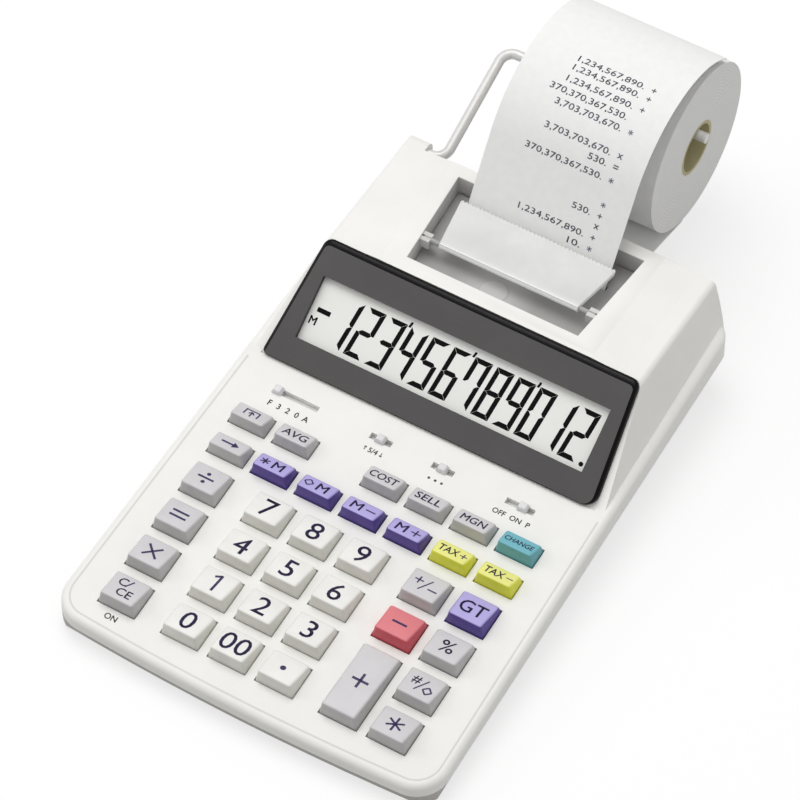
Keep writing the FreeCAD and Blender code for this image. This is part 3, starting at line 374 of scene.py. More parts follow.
for node, material in NODE_MATERIALS.items():
    item = frame["nodes"][node]
    item.data.materials.clear()
    item.data.materials.append(material)
    if node in ROUNDED or node in SOFT_EDGES:
        weld = item.modifiers.new("weld", "WELD")
        weld.merge_threshold = WELD_GAP
        item.data.polygons.foreach_set("use_smooth", [True] * len(item.data.polygons))
    if node in SOFT_EDGES:
        flat = item.modifiers.new("flat", "DECIMATE")
        flat.decimate_type = "DISSOLVE"
        flat.angle_limit = FLAT_ANGLE
        ease = item.modifiers.new("ease", "BEVEL")
        ease.width = SOFT_EDGES[node] * MM
        ease.segments = EASE_STEPS
        ease.limit_method = "ANGLE"
        ease.angle_limit = EASE_ANGLE
        ease.harden_normals = True
    if node in ROUNDED:
        split_edges(item, ROUND_ANGLE)


# Flat figures: pairs of (corners, faces) in millimetres, x to the right and y up

LETTER_STEPS = 3


def outline_of(text):
    """Corners and faces of a word in the plain built-in type."""
    curve = bpy.data.curves.new("word", "FONT")
    curve.body = text
    curve.resolution_u = LETTER_STEPS
    item = bpy.data.objects.new("word", curve)
    bpy.context.collection.objects.link(item)
    bpy.context.view_layer.update()
    mesh = bpy.data.meshes.new_from_object(item.evaluated_get(bpy.context.evaluated_depsgraph_get()))
    spots = [(vertex.co.x, vertex.co.y) for vertex in mesh.vertices]
    faces = [tuple(face.vertices) for face in mesh.polygons]
    bpy.data.objects.remove(item)
    bpy.data.meshes.remove(mesh)
    return spots, faces


def letters(text, height, width=None, bold=0.0, like=None, stretch=False):
    """A centred word: the height of its ink, or of a like word's, and its largest, or exact, width."""
    spots, faces = outline_of(text)
    wide = [spot[0] for spot in spots]
    high = [spot[1] for spot in (outline_of(like)[0] if like else spots)]
    scale = height / (max(high) - min(high))
    squeeze = width / ((max(wide) - min(wide)) * scale) if width else 1.0
    if not stretch:
        squeeze = min(1.0, squeeze)
    centre = (max(wide) + min(wide)) / 2, (max(high) + min(high)) / 2
    spots = [((x - centre[0]) * scale * squeeze, (y - centre[1]) * scale) for x, y in spots]
    if not bold:
        return spots, faces
    shifts = ((-bold, 0), (bold, 0), (0, -bold), (0, bold))
    return together(*[moved((spots, faces), dx, dy) for dx, dy in shifts])


def bars(*lines, thick):
    """Straight strokes, each (x0, y0, x1, y1)."""
    spots, faces = [], []
    for x0, y0, x1, y1 in lines:
        length = math.hypot(x1 - x0, y1 - y0)
        nx, ny = -(y1 - y0) / length * thick / 2, (x1 - x0) / length * thick / 2
        start = len(spots)
        spots += [(x0 - nx, y0 - ny), (x1 - nx, y1 - ny), (x1 + nx, y1 + ny), (x0 + nx, y0 + ny)]
        faces.append((start, start + 1, start + 2, start + 3))
    return spots, faces


def disc(radius, x=0.0, y=0.0, count=16):
    """Round dot."""
    angles = [2 * math.pi * i / count for i in range(count)]
    return [(x + radius * math.cos(a), y + radius * math.sin(a)) for a in angles], [tuple(range(count))]


def moved(figure, dx, dy, scale=1.0):
    """A figure scaled about its origin, then shifted."""
    return [(x * scale + dx, y * scale + dy) for x, y in figure[0]], figure[1]


def together(*figures):
    """Several figures as one."""
    spots, faces = [], []
    for more_spots, more_faces in figures:
        start = len(spots)
        spots += more_spots
        faces += [tuple(i + start for i in face) for face in more_faces]
    return spots, faces


def diamond(size, thick):
    """Open square on its corner."""
    s = size / 2
    return bars((-s, 0, 0, s), (0, s, s, 0), (s, 0, 0, -s), (0, -s, -s, 0), thick=thick)


def star(size, thick):
    """Three strokes through one point."""
    s = size / 2
    return bars(*[(-s * math.cos(a), -s * math.sin(a), s * math.cos(a), s * math.sin(a))
                  for a in (math.pi / 2, math.pi / 6, -math.pi / 6)], thick=thick)


MINUS = bars((-2.8, 0, 2.8, 0), thick=0.95)
PLUS = bars((-2.7, 0, 2.7, 0), (0, -2.7, 0, 2.7), thick=0.85)
WORD_HIGH, DIGIT_TALL, THIN, BOLD = 3.6, 8.0, 0.05, 0.07
MEMORY = letters("M", 4.2, 4.4, BOLD)
TAX = moved(letters("TAX", 3.4, 7.4, THIN), -1.5, 0)
SLASH = bars((-1.5, -2.9, 1.5, 2.9), thick=0.5)
LEGENDS = {
    "feed": bars((-2.6, -1.4, -2.6, 1.6), (2.6, -1.4, 2.6, 1.6), (-2.85, 1.6, 2.85, 1.6),
                 (0, -1.9, 0, 0.8), (-1.0, -0.3, 0, 0.9), (1.0, -0.3, 0, 0.9), thick=0.55),
    "average": letters("AVG", WORD_HIGH, 9.4, THIN), "cost": letters("COST", WORD_HIGH, 10.6, THIN),
    "sell": letters("SELL", WORD_HIGH, 10.0, THIN), "margin": letters("MGN", WORD_HIGH, 9.4, THIN),
    "change": letters("CHANGE", 2.4, 10.8, 0.04),
    "backspace": together(bars((-3.3, 0, 2.0, 0), thick=0.9),
                          ([(1.2, -1.6), (3.6, 0), (1.2, 1.6)], [(0, 1, 2)])),
    "memory_total": together(moved(star(3.6, 0.6), -3.4, 0), moved(MEMORY, 1.8, 0)),
    "memory_subtotal": together(moved(diamond(3.3, 0.55), -3.6, 0), moved(MEMORY, 1.8, 0)),
    "memory_minus": together(moved(MEMORY, -2.2, 0), moved(MINUS, 3.2, 0, 0.66)),
    "memory_plus": together(moved(MEMORY, -2.2, 0), moved(PLUS, 3.3, 0, 0.68)),
    "tax_plus": together(TAX, moved(PLUS, 4.2, 0, 0.5)),
    "tax_minus": together(TAX, moved(MINUS, 4.3, 0, 0.46)),
    "divide": together(bars((-3.1, 0, 3.1, 0), thick=0.85), disc(0.75, 0, 2.1), disc(0.75, 0, -2.1)),
    "equals": bars((-3.2, 1.2, 3.2, 1.2), (-3.2, -1.2, 3.2, -1.2), thick=0.9),
    "multiply": bars((-2.7, -2.7, 2.7, 2.7), (-2.7, 2.7, 2.7, -2.7), thick=0.85),
    "clear": together(moved(letters("C", 3.5, None, THIN), -2.2, 2.3),
                      bars((-0.7, 0.6, 1.1, 4.1), thick=0.55),
                      moved(letters("CE", 3.5, None, THIN), 0.8, -2.1)),
    "sign": together(moved(PLUS, -3.0, 1.2, 0.62), SLASH, moved(MINUS, 3.2, -1.2, 0.62)),
    "grand_total": letters("GT", 5.6, 9.6, BOLD), "percent": letters("%", 5.6, 6.6, 0.06),
    "subtotal": together(moved(letters("#", 3.6, None, THIN), -2.5, 1.3), SLASH,
                         moved(diamond(3.4, 0.6), 2.9, -1.4)),
    "minus": MINUS, "plus": moved(PLUS, 0, 0, 1.15), "total": star(6.4, 0.8), "point": disc(1.05),
}
DIGITS = ("zero", "one", "two", "three", "four", "five", "six", "seven", "eight", "nine")
for number, name in enumerate(DIGITS):
    LEGENDS[name] = letters(str(number), DIGIT_TALL, None, THIN)
LEGENDS["one"] = bars((0.6, -DIGIT_TALL / 2, 0.6, DIGIT_TALL / 2),
                      (0.7, DIGIT_TALL / 2 - 0.2, -1.6, 2.4), thick=0.95)
LEGENDS["double_zero"] = letters("00", DIGIT_TALL, 11.8, THIN)

# Key colours, each a lit top and a shaded side: painted light over the key's own colour
KEY_PAINTED_LIGHT_TONES = {
    "key_white": two_tone("key_white", (242, 241, 237), (222, 220, 213)),
    "key_grey": two_tone("key_grey", (213, 211, 213), (186, 184, 184)),
    "key_violet": two_tone("key_violet", (184, 174, 230), (78, 56, 140)),
    "key_yellow": two_tone("key_yellow", (242, 241, 140), (224, 226, 60)),
    "key_teal": two_tone("key_teal", (118, 188, 202), (96, 164, 172)),
    "key_red": two_tone("key_red", (228, 130, 136), (204, 78, 92)),
}

# Keys: column positions and row fronts on the deck, as in the construction
KEY_HALF, KEY_RISE, KEY_BACK, KEY_TAPER, KEY_LEAN = 7.25, 5.6, 2.2, 1.0, 0.85
KEY_SHANK, KEY_EASE, KEY_EASE_STEPS = -2.0, 0.9, 4
DEEP, SHORT, TALL = 12.4, 7.8, 29.2
LOW_ROW, LOW_FRONT, ROW_PITCH = 6, 10.75, 16.75
UPPER_X, UPPER_PITCH, UPPER_FRONTS = -53.9, 17.68, (92.9, 79.0)
LEFT_X, DIGIT_X, DIGIT_COLUMN, RIGHT_X, RIGHT_PITCH = -53.7, -28.65, 18.58, 33.25, 18.5


def row_front(row):
    """Front of a key row on the deck; rows count from the rear."""
    return LOW_FRONT + (LOW_ROW - row) * ROW_PITCH


KEYS = {}
for column, row, name in ((0, 0, "feed"), (1, 0, "average"), (3, 0, "cost"), (4, 0, "sell"),
                          (5, 0, "margin"), (6, 0, "change"), (0, 1, "backspace"), (1, 1, "memory_total"),
                          (2, 1, "memory_subtotal"), (3, 1, "memory_minus"), (4, 1, "memory_plus"),
                          (5, 1, "tax_plus"), (6, 1, "tax_minus")):
    KEYS[name] = (UPPER_X + UPPER_PITCH * column, UPPER_FRONTS[row], SHORT)
for row, name in ((3, "divide"), (4, "equals"), (5, "multiply"), (6, "clear")):
    KEYS[name] = (LEFT_X, row_front(row), DEEP)
for row, names in ((3, "seven eight nine"), (4, "four five six"), (5, "one two three"),
                   (6, "zero double_zero point")):
    for column, name in enumerate(names.split()):
        KEYS[name] = (DIGIT_X + DIGIT_COLUMN * column, row_front(row), DEEP)
for column, row, name in ((0, 3, "sign"), (1, 3, "grand_total"), (0, 4, "minus"), (1, 4, "percent"),
                          (1, 5, "subtotal"), (0, 6, "plus"), (1, 6, "total")):
    KEYS[name] = (RIGHT_X + RIGHT_PITCH * column, row_front(row), TALL if name == "plus" else DEEP)
SLOTS = {entry["node"]: entry["material_slot"] for entry in frame["record"]["subparts"]}


def finished(name, mesh_data, materials, body):
    """Object from a bmesh in metres, riding on a body, with the given materials."""
    mesh = bpy.data.meshes.new(name)
    mesh_data.to_mesh(mesh)
    mesh_data.free()
    item = bpy.data.objects.new(name, mesh)
    bpy.context.collection.objects.link(item)
    for material in materials:
        mesh.materials.append(material)
    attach(item, body)
    return item


def lay(mesh_data, figure, matrix, index=0):
    """Add a flat figure to a bmesh, with a material index."""
    spots = [mesh_data.verts.new(matrix @ Vector((x, y, 0))) for x, y in figure[0]]
    for face in figure[1]:
        mesh_data.faces.new([spots[i] for i in face]).material_index = index


def key_cap(name):
    """Key with eased edges and its legend."""
    x, front, depth = KEYS[name]
    fall = math.atan((KEY_RISE - KEY_BACK) / depth)
    run = depth - KEY_LEAN
    back_rise = KEY_RISE - run * math.tan(fall)
    back_half = KEY_HALF - KEY_TAPER * back_rise / KEY_RISE
    front_half = KEY_HALF - KEY_TAPER
    rear = front + depth
    data = bmesh.new()
    rings = [[(x - KEY_HALF, front, KEY_SHANK), (x + KEY_HALF, front, KEY_SHANK),
              (x + KEY_HALF, rear, KEY_SHANK), (x - KEY_HALF, rear, KEY_SHANK)],
             [(x - front_half, front + KEY_LEAN, KEY_RISE), (x + front_half, front + KEY_LEAN, KEY_RISE),
              (x + back_half, rear, back_rise), (x - back_half, rear, back_rise)]]
    rings.insert(1, [(a, b, 0.0) for a, b, c in rings[0]])
    rows = [[data.verts.new(spot) for spot in ring] for ring in rings]
    data.faces.new(list(reversed(rows[0])))
    data.faces.new(rows[-1])
    for low, high in zip(rows, rows[1:]):
        for i in range(4):
            data.faces.new((low[i], low[(i + 1) % 4], high[(i + 1) % 4], high[i]))
    eased = [edge for edge in data.edges if edge.verts[0] in rows[2] or edge.verts[1] in rows[2]]
    bmesh.ops.bevel(data, geom=eased, offset=KEY_EASE, segments=KEY_EASE_STEPS, profile=0.5, affect="EDGES")
    for face in data.faces:
        face.smooth = True
    data.transform(ON_DECK)
    top = (ON_DECK @ Matrix.Translation((x, front + KEY_LEAN, KEY_RISE)) @ Matrix.Rotation(-fall, 4, "X")
           @ Matrix.Translation((0, run / math.cos(fall) / 2, INK_LIFT)))
    lay(data, LEGENDS[name], top, 1)
    node = "key_" + name
    tone = KEY_PAINTED_LIGHT_TONES[SLOTS[node]]
    frame["nodes"][node].data.materials.clear()
    frame["nodes"][node].data.materials.append(tone)
    item = finished(node + "_cap", data, (tone, INK), node)
    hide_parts(node)
    split_edges(item)


for name in KEYS:
    key_cap(name)


# Words and marks printed on the deck

LABEL_ROW, LABEL_HIGH, LABEL_BOLD = 106.6, 2.0, 0.05
SCALE_ROW, SCALE_HIGH, SCALE_BOLD, SCALE_FIRST, SCALE_PITCH = 106.4, 2.2, 0.06, -52.6, 3.6
CLEAR_WORD = (-53.6, 7.4)
ARROW_UP = bars((0, -0.8, 0, 0.8), (-0.5, 0.3, 0, 0.8), (0.5, 0.3, 0, 0.8), thick=0.3)
ARROW_DOWN = bars((0, -0.8, 0, 0.8), (-0.5, -0.3, 0, -0.8), (0.5, -0.3, 0, -0.8), thick=0.3)
ARROW_UP_X, ROUND_WORD_X, ARROW_DOWN_X = -14.4, -11.2, -8.0
DOT_ROW, DOT_RADIUS, DOT_PLACES = 106.8, 0.5, (10.9, 13.4, 15.9)
POWER_WORDS = (("OFF", 38.6), ("ON", 45.0), ("P", 49.8))


def deck_print():
    """Words beside the switches and under the clear key."""
    data = bmesh.new()

    def mark(figure, x, along):
        lay(data, figure, ON_DECK @ Matrix.Translation((x, along, INK_LIFT)))

    mark(letters("ON", SCALE_HIGH, None, SCALE_BOLD), *CLEAR_WORD)
    for place, word in enumerate("F320A"):
        mark(letters(word, SCALE_HIGH, None, SCALE_BOLD), SCALE_FIRST + SCALE_PITCH * place, SCALE_ROW)
    mark(ARROW_UP, ARROW_UP_X, LABEL_ROW)
    mark(letters("5/4", LABEL_HIGH, None, LABEL_BOLD), ROUND_WORD_X, LABEL_ROW)
    mark(ARROW_DOWN, ARROW_DOWN_X, LABEL_ROW)
    for x in DOT_PLACES:
        mark(disc(DOT_RADIUS), x, DOT_ROW)
    for word, x in POWER_WORDS:
        mark(letters(word, LABEL_HIGH, None, LABEL_BOLD), x, LABEL_ROW)
    finished("deck_words", data, (LABEL,), "case")


deck_print()


# Display: seven-segment figures on the glass, and the dark panel round the window

GLASS_FACE = -2.2
SEGMENTS = {"1": "bc", "2": "abged", "3": "abgcd", "4": "fgbc", "5": "afgcd", "6": "afgedc", "7": "fabc",
            "8": "abcdefg", "9": "abcdfg", "0": "abcdef"}
DIGIT_WIDE, DIGIT_HIGH, STROKE, DIGIT_GAP = 6.8, 18.4, 1.75, 0.06
DIGIT_PITCH, DIGIT_FIRST, DIGIT_BASE, DIGIT_LEAN = 8.5, -43.5, 11.6, 0.11
TICK_PLACES, TICK_HEAD, TICK_FOOT, TICK_THICK = (2, 5, 8), (0.2, 1.4), (-0.1, -0.6), 0.9
SHOWN = "123456789012"
# Point, minus sign and memory letter: figure, x, height over the foot of the digits
EXTRAS = ((disc(0.85), 54.95, 0.5), (bars((-2.6, 0, 2.6, 0), thick=1.7), -52.0, 10.1),
          (letters("M", 2.8, None, 0.1), -54.4, 5.9))


def segment(letter):
    """Mitred stroke of a digit: a bar across, or an upright made at the upper right and mirrored."""
    w, h, t, g = DIGIT_WIDE / 2, DIGIT_HIGH / 2, STROKE, DIGIT_GAP
    if letter == "g":
        tip, end = w - t / 2 - g, w - t - g
        spots = [(tip, 0), (end, t / 2), (-end, t / 2), (-tip, 0), (-end, -t / 2), (end, -t / 2)]
    elif letter in "ad":
        spots = [(w - g, h), (g - w, h), (t + g - w, h - t), (w - t - g, h - t)]
    else:
        spots = [(w, h - g), (w - t, h - t - g), (w - t, t / 2 + g), (w - t / 2, g), (w, g)]
    across, along = {"e": (-1, -1), "f": (-1, 1), "c": (1, -1), "d": (1, -1)}.get(letter, (1, 1))
    return [(x * across, y * along) for x, y in spots], [tuple(range(len(spots)))]


def display_figures():
    """Digits that lean, ticks between thousands, point, minus sign and memory letter."""
    data = bmesh.new()
    slope = ON_PANEL @ Matrix.Translation((0, 0, GLASS_FACE + INK_LIFT))
    lean = Matrix(((1, DIGIT_LEAN, 0, 0), (0, 1, 0, 0), (0, 0, 1, 0), (0, 0, 0, 1)))
    between, top = DIGIT_PITCH / 2, DIGIT_HIGH / 2
    tick = bars((between + TICK_HEAD[0], top + TICK_HEAD[1], between + TICK_FOOT[0], top + TICK_FOOT[1]),
                thick=TICK_THICK)
    for place, digit in enumerate(SHOWN):
        x = DIGIT_FIRST + place * DIGIT_PITCH
        at = slope @ Matrix.Translation((x, DIGIT_BASE + top, 0)) @ lean
        for letter in SEGMENTS[digit]:
            lay(data, segment(letter), at)
        if place in TICK_PLACES:
            lay(data, tick, at)
    for figure, x, rise in EXTRAS:
        lay(data, figure, slope @ Matrix.Translation((x, DIGIT_BASE + rise, 0)))
    finished("display_figures", data, (SEGMENT,), "case")


display_figures()

PANEL_LOW, PANEL_TOP, PANEL_LONG, PANEL_THICK = 66.3, 62.1, 46.0, 2.2
WINDOW = (-57.0, 57.0, 9.8, 33.0)
LEFT_ROUND, RIGHT_ROUND, TOP_ROUND, LEAST_ROUND, ROUND_STEPS = 2.2, 5.0, 3.4, 0.5, 8
FOOT_SHARE, SIDE_SHARE = 0.08, 0.55
# Rim of the panel, from its face outwards: inset and height of each ring
RIM = ((2.6, 0.0), (1.4, -0.12), (0.45, -0.45), (0.0, -1.1))


def rounded_outline(corners):
    """Points of a polygon whose corners, each (x, y, radius), are round."""
    points = []
    for i, (x, y, radius) in enumerate(corners):
        spot = Vector((x, y))
        back = (Vector(corners[i - 1][:2]) - spot).normalized()
        ahead = (Vector(corners[(i + 1) % len(corners)][:2]) - spot).normalized()
        half = back.angle(ahead) / 2
        centre = spot + (back + ahead).normalized() * (radius / math.sin(half))
        start = spot + back * (radius / math.tan(half)) - centre
        turn = math.pi - 2 * half
        for step in range(ROUND_STEPS + 1):
            angle = turn * step / ROUND_STEPS
            points.append((centre.x + start.x * math.cos(angle) - start.y * math.sin(angle),
                           centre.y + start.x * math.sin(angle) + start.y * math.cos(angle)))
    return points


def panel_ring(inset):
    """Outline of the panel, drawn in by inset along its top, and less along its sides and at its foot."""
    foot, top = inset * FOOT_SHARE, PANEL_LONG - inset

    def half(along):
        return PANEL_LOW + (PANEL_TOP - PANEL_LOW) * along / PANEL_LONG - inset * SIDE_SHARE

    rounds = (LEFT_ROUND, RIGHT_ROUND, TOP_ROUND)
    left, right, high = [max(radius - inset * SIDE_SHARE, LEAST_ROUND) for radius in rounds]
    return rounded_outline(((-half(foot), foot, left), (half(foot), foot, right),
                            (half(top), top, high), (-half(top), top, high)))


def loop(data, points, height):
    """New corners at one height."""
    return [data.verts.new((x, y, height)) for x, y in points]


def walls(data, first, second, index=0):
    """Faces between two loops of as many corners."""
    count = len(first)
    for i in range(count):
        face = data.faces.new((first[i], first[(i + 1) % count], second[(i + 1) % count], second[i]))
        face.material_index = index
        face.smooth = True


def ringed(data, outer, inner):
    """Flat face between two loops."""
    edges = []
    for spots in (outer, inner):
        for i in range(len(spots)):
            pair = (spots[i - 1], spots[i])
            edges.append(data.edges.get(pair) or data.edges.new(pair))
    bmesh.ops.triangle_fill(data, use_beauty=True, edges=edges)


def panel():
    """Dark display panel with round corners and a polished black rim."""
    data = bmesh.new()
    rings = [loop(data, panel_ring(inset), height) for inset, height in RIM]
    rings.append(loop(data, panel_ring(0.0), -PANEL_THICK))
    for first, second in zip(rings, rings[1:]):
        walls(data, first, second, 1)
    left, right, low, high = WINDOW
    window = ((left, low), (right, low), (right, high), (left, high))
    upper, lower = loop(data, window, 0.0), loop(data, window, -PANEL_THICK)
    walls(data, upper, lower)
    ringed(data, rings[0], upper)
    ringed(data, rings[-1], lower)
    bmesh.ops.recalc_face_normals(data, faces=data.faces)
    data.transform(ON_PANEL)
    item = finished("panel_face", data, (DARK, BLACK), "case")
    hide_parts("display_panel")
    split_edges(item)


panel()


# Printer recess: guard plate with the paper slot, slopes round the cover, clear tear flap

IN_CASE = from_case(0, 0, 0)
GUARD_LOW, GUARD_TOP = 39.0, 39.6
GUARD = ((-33.85, 166.9), (33.85, 166.9), (37.1, 206.6), (-37.1, 206.6))
GUARD_SLOT = ((-29.2, 194.1), (29.2, 194.1), (29.2, 196.4), (-29.2, 196.4))
THUMB_Y, THUMB_RADIUS, THUMB_FLAT, THUMB_RISE, THUMB_SIDES = 174.2, 5.4, 4.7, 0.3, 40


def guard_plate():
    """Grey plate over the print wheel, with a thumb mark at its front."""
    data = bmesh.new()
    heights = (GUARD_TOP, GUARD_LOW)
    loops = [[loop(data, points, height) for height in heights] for points in (GUARD, GUARD_SLOT)]
    for upper, lower in loops:
        walls(data, upper, lower)
    for outer, inner in zip(*loops):
        ringed(data, outer, inner)
    rise = GUARD_TOP + THUMB_RISE
    base, top = [loop(data, disc(radius, THUMB_X, THUMB_Y, THUMB_SIDES)[0], height)
                 for radius, height in ((THUMB_RADIUS, GUARD_TOP), (THUMB_FLAT, rise))]
    walls(data, base, top)
    data.faces.new(top).material_index = 1
    data.faces.new(list(reversed(base)))
    bmesh.ops.recalc_face_normals(data, faces=data.faces)
    data.transform(IN_CASE)
    item = finished("guard_plate", data, (GUARD_GREY, THUMB_GREY), "case")
    split_edges(item)


guard_plate()

COVER_HALF, COVER_FRONT, COVER_REAR, COVER_TOP = 42.7, 162.3, 211.8, 47.83
BLEND_HALF, BLEND_FRONT, HOUSING_TOP, BLEND_LOW = 55.0, 160.6, 46.93, 46.8


def cover_blend():
    """Low slopes that lead the housing top up to the printer cover, at both sides and in front."""
    data = bmesh.new()
    front = [(-COVER_HALF, BLEND_FRONT, COVER_TOP), (COVER_HALF, BLEND_FRONT, COVER_TOP),
             (COVER_HALF, COVER_FRONT, COVER_TOP), (-COVER_HALF, COVER_FRONT, COVER_TOP)]
    right = [(COVER_HALF, BLEND_FRONT, COVER_TOP), (BLEND_HALF, BLEND_FRONT, HOUSING_TOP),
             (BLEND_HALF, COVER_REAR, HOUSING_TOP), (COVER_HALF, COVER_REAR, COVER_TOP)]
    left = [(-x, y, z) for x, y, z in reversed(right)]
    for slope in (front, right, left):
        upper = [data.verts.new(spot) for spot in slope]
        lower = [data.verts.new((x, y, BLEND_LOW)) for x, y, z in slope]
        walls(data, lower, upper)
        data.faces.new(upper)
        data.faces.new(list(reversed(lower)))
    for face in data.faces:
        face.smooth = False
    data.transform(IN_CASE)
    finished("cover_blend", data, (WHITE,), "case")


cover_blend()

FLAP_HALF, FLAP_FRONT, FLAP_REAR, FLAP_LOW, FLAP_TOP = 31.0, 177.5, 198.6, 46.2, 47.6
TEETH, TOOTH, FLAP_SLANT, FLAP_EASE, FLAP_EASE_STEPS, FLAP_TAPER = 40, 0.7, 1.0, 0.4, 3, 3.4
HINGE_Y, HINGE_Z, BARREL, PIN, PIN_REACH, PIN_SIDES = 178.5, 45.9, 1.4, 1.0, 3.0, 28


def flap():
    """Clear flap that narrows to its front: plate with a toothed tear edge, barrel and pins."""
    data = bmesh.new()
    front = FLAP_HALF - FLAP_TAPER
    outline = [(-front, FLAP_FRONT), (front, FLAP_FRONT)]
    for i in range(2 * TEETH + 1):
        outline.append((FLAP_HALF * (1 - i / TEETH), FLAP_REAR - (0 if i % 2 else TOOTH)))
    under = [(x, y if y == FLAP_FRONT else y - FLAP_SLANT) for x, y in outline]
    upper, lower = loop(data, outline, FLAP_TOP), loop(data, under, FLAP_LOW)
    walls(data, lower, upper)
    broad = (data.faces.new(upper), data.faces.new(list(reversed(lower))))
    for face in data.faces:
        face.smooth = False
    soft = [data.edges.get((upper[i], upper[(i + 1) % len(upper)])) for i in (-1, 0, 1)]
    bmesh.ops.bevel(data, geom=soft, offset=FLAP_EASE, segments=FLAP_EASE_STEPS, profile=0.5, affect="EDGES")
    # The front edge faces, and the barrel below, take the painted highlight instead of clear plastic
    for face in data.faces:
        if face.calc_center_median().y < HINGE_Y + 2 * BARREL and face not in broad:
            face.material_index = 1
    along = Matrix.Translation((0, HINGE_Y, HINGE_Z)) @ Matrix.Rotation(math.pi / 2, 4, "Y")
    for radius, half, finish in ((BARREL, front, 1), (PIN, FLAP_HALF + PIN_REACH, 2)):
        made = bmesh.ops.create_cone(data, cap_ends=True, segments=PIN_SIDES, radius1=radius,
                                     radius2=radius, depth=2 * half, matrix=along)
        for face in {face for spot in made["verts"] for face in spot.link_faces}:
            face.material_index = finish
    data.transform(IN_CASE)
    item = finished("tear_flap_clear", data, (CLEAR, FLAP_EDGE_HIGHLIGHT, GUARD_GREY), "tear_flap")
    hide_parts("tear_flap")
    split_edges(item)


flap()


# Painted shade: a fine darker line along the eased edge of the key deck

BOW_TIP, BOW_RADIUS, BOW_STEPS, SIDE_CLOSE = -1.31, 1040.0, (50.0, 37.5, 25.0, 12.5), 0.019
CORNER_X, CORNER_Y, CORNER_RADIUS, CORNER_STEPS = 62.77, 12.57, 12.0, 12
LINE_REAR, LINE_INSET, LINE_WIDTH = 119.0, 2.7, 0.7


def edge_line(inset):
    """Plan points of a line inside the case edge, from the right side round the bowed front to the left."""
    side = CORNER_X + CORNER_RADIUS - inset
    points = [(side - SIDE_CLOSE * (LINE_REAR - CORNER_Y), LINE_REAR)]
    reach = CORNER_RADIUS - inset
    for step in range(CORNER_STEPS + 1):
        angle = -math.pi / 2 * step / CORNER_STEPS
        points.append((CORNER_X + reach * math.cos(angle), CORNER_Y + reach * math.sin(angle)))
    points += [(x, BOW_TIP + inset + x * x / (2 * BOW_RADIUS)) for x in BOW_STEPS]
    return points + [(0.0, BOW_TIP + inset)] + [(-x, y) for x, y in reversed(points)]


def deck_line():
    """Thin band of painted shade between two such lines."""
    data = bmesh.new()
    stretch = 1 / math.cos(DECK_TILT)
    sides = [[data.verts.new(ON_DECK @ Vector((x, y * stretch, INK_LIFT / 2))) for x, y in edge_line(inset)]
             for inset in (LINE_INSET, LINE_INSET + LINE_WIDTH)]
    for i in range(len(sides[0]) - 1):
        data.faces.new((sides[0][i], sides[1][i], sides[1][i + 1], sides[0][i + 1]))
    bmesh.ops.recalc_face_normals(data, faces=data.faces)
    finished("deck_line", data, (EDGE_SHADE,), "case")


deck_line()


# Printing on the paper strip: rows of sums that follow its path out of the printer and over the curl

CLIMB = math.radians(57.8)
CURL_Y, CURL_Z, CURL_RADIUS = 250.0, 48.0, 42.0
LEAVE_Y, LEAVE_Z, STRAIGHT = 191.75, 34.30, 42.6


def on_strip(distance):
    """Matrix at a distance along the outer face of the strip: x across, y along, z out of the paper."""
    if distance < STRAIGHT:
        y = LEAVE_Y + distance * math.cos(CLIMB)
        z = LEAVE_Z + distance * math.sin(CLIMB)
        tilt = CLIMB
    else:
        angle = math.pi / 2 + CLIMB - (distance - STRAIGHT) / CURL_RADIUS
        y = CURL_Y + CURL_RADIUS * math.cos(angle)
        z = CURL_Z + CURL_RADIUS * math.sin(angle)
        tilt = angle - math.pi / 2
    return from_case(y, z, tilt) @ Matrix.Translation((0, 0, INK_LIFT))


# Rows: text, sign, distance along the strip
ROWS = (("10.", "*", 17.3), ("1,234,567,890.", "+", 21.6), ("", "x", 25.8), ("530.", "+", 29.9),
        ("", "*", 34.1), ("370,370,367,530.", "*", 43.4), ("530.", "=", 48.5), ("3,703,703,670.", "x", 52.5),
        ("3,703,703,670.", "*", 61.4), ("370,370,367,530.", "", 65.8), ("1,234,567,890.", "+", 70.2),
        ("1,234,567,890.", "+", 74.8), ("1,234,567,890.", "+", 78.6))
FIGURE_PITCH, POINT_PITCH, FIGURE_SPACE, FIGURE_HIGH, FIGURE_BOLD = 2.1, 1.35, 0.5, 2.3, 0.03
RIGHT_EDGE, SIGN_X, SIGN_BOLD = 15.0, 18.7, 0.05
STAR_MARK = star(2.0, 0.35)
SIGN_HIGH = {"+": 1.7, "x": 1.7, "=": 1.2}


def strip_print():
    """Rows of figures that end at one edge, each with its sign."""
    data = bmesh.new()
    for text, sign, distance in ROWS:
        at = on_strip(distance)
        if text:
            wide = sum(FIGURE_PITCH if letter.isdigit() else POINT_PITCH for letter in text) - FIGURE_SPACE
            row = letters(text, FIGURE_HIGH, wide, FIGURE_BOLD, like="0", stretch=True)
            lay(data, row, at @ Matrix.Translation((RIGHT_EDGE - wide / 2, 0, 0)))
        if sign:
            mark = STAR_MARK if sign == "*" else letters(sign, SIGN_HIGH[sign], None, SIGN_BOLD)
            lay(data, mark, at @ Matrix.Translation((SIGN_X, 0, 0)))
    finished("strip_figures", data, (PRINT,), "case")


strip_print()


# Cross slots of the case screws, on the underside, as painted shade: flat dark crosses where the hollows
# would lie in shadow

SCREW_FACE = 2.1
CROSS = bars((-1.5, 0, 1.5, 0), (0, -1.5, 0, 1.5), thick=0.55)
SCREWS = [(side * x, y) for side in (-1, 1) for x, y in ((66.2, 42.0), (63.0, 124.0))]


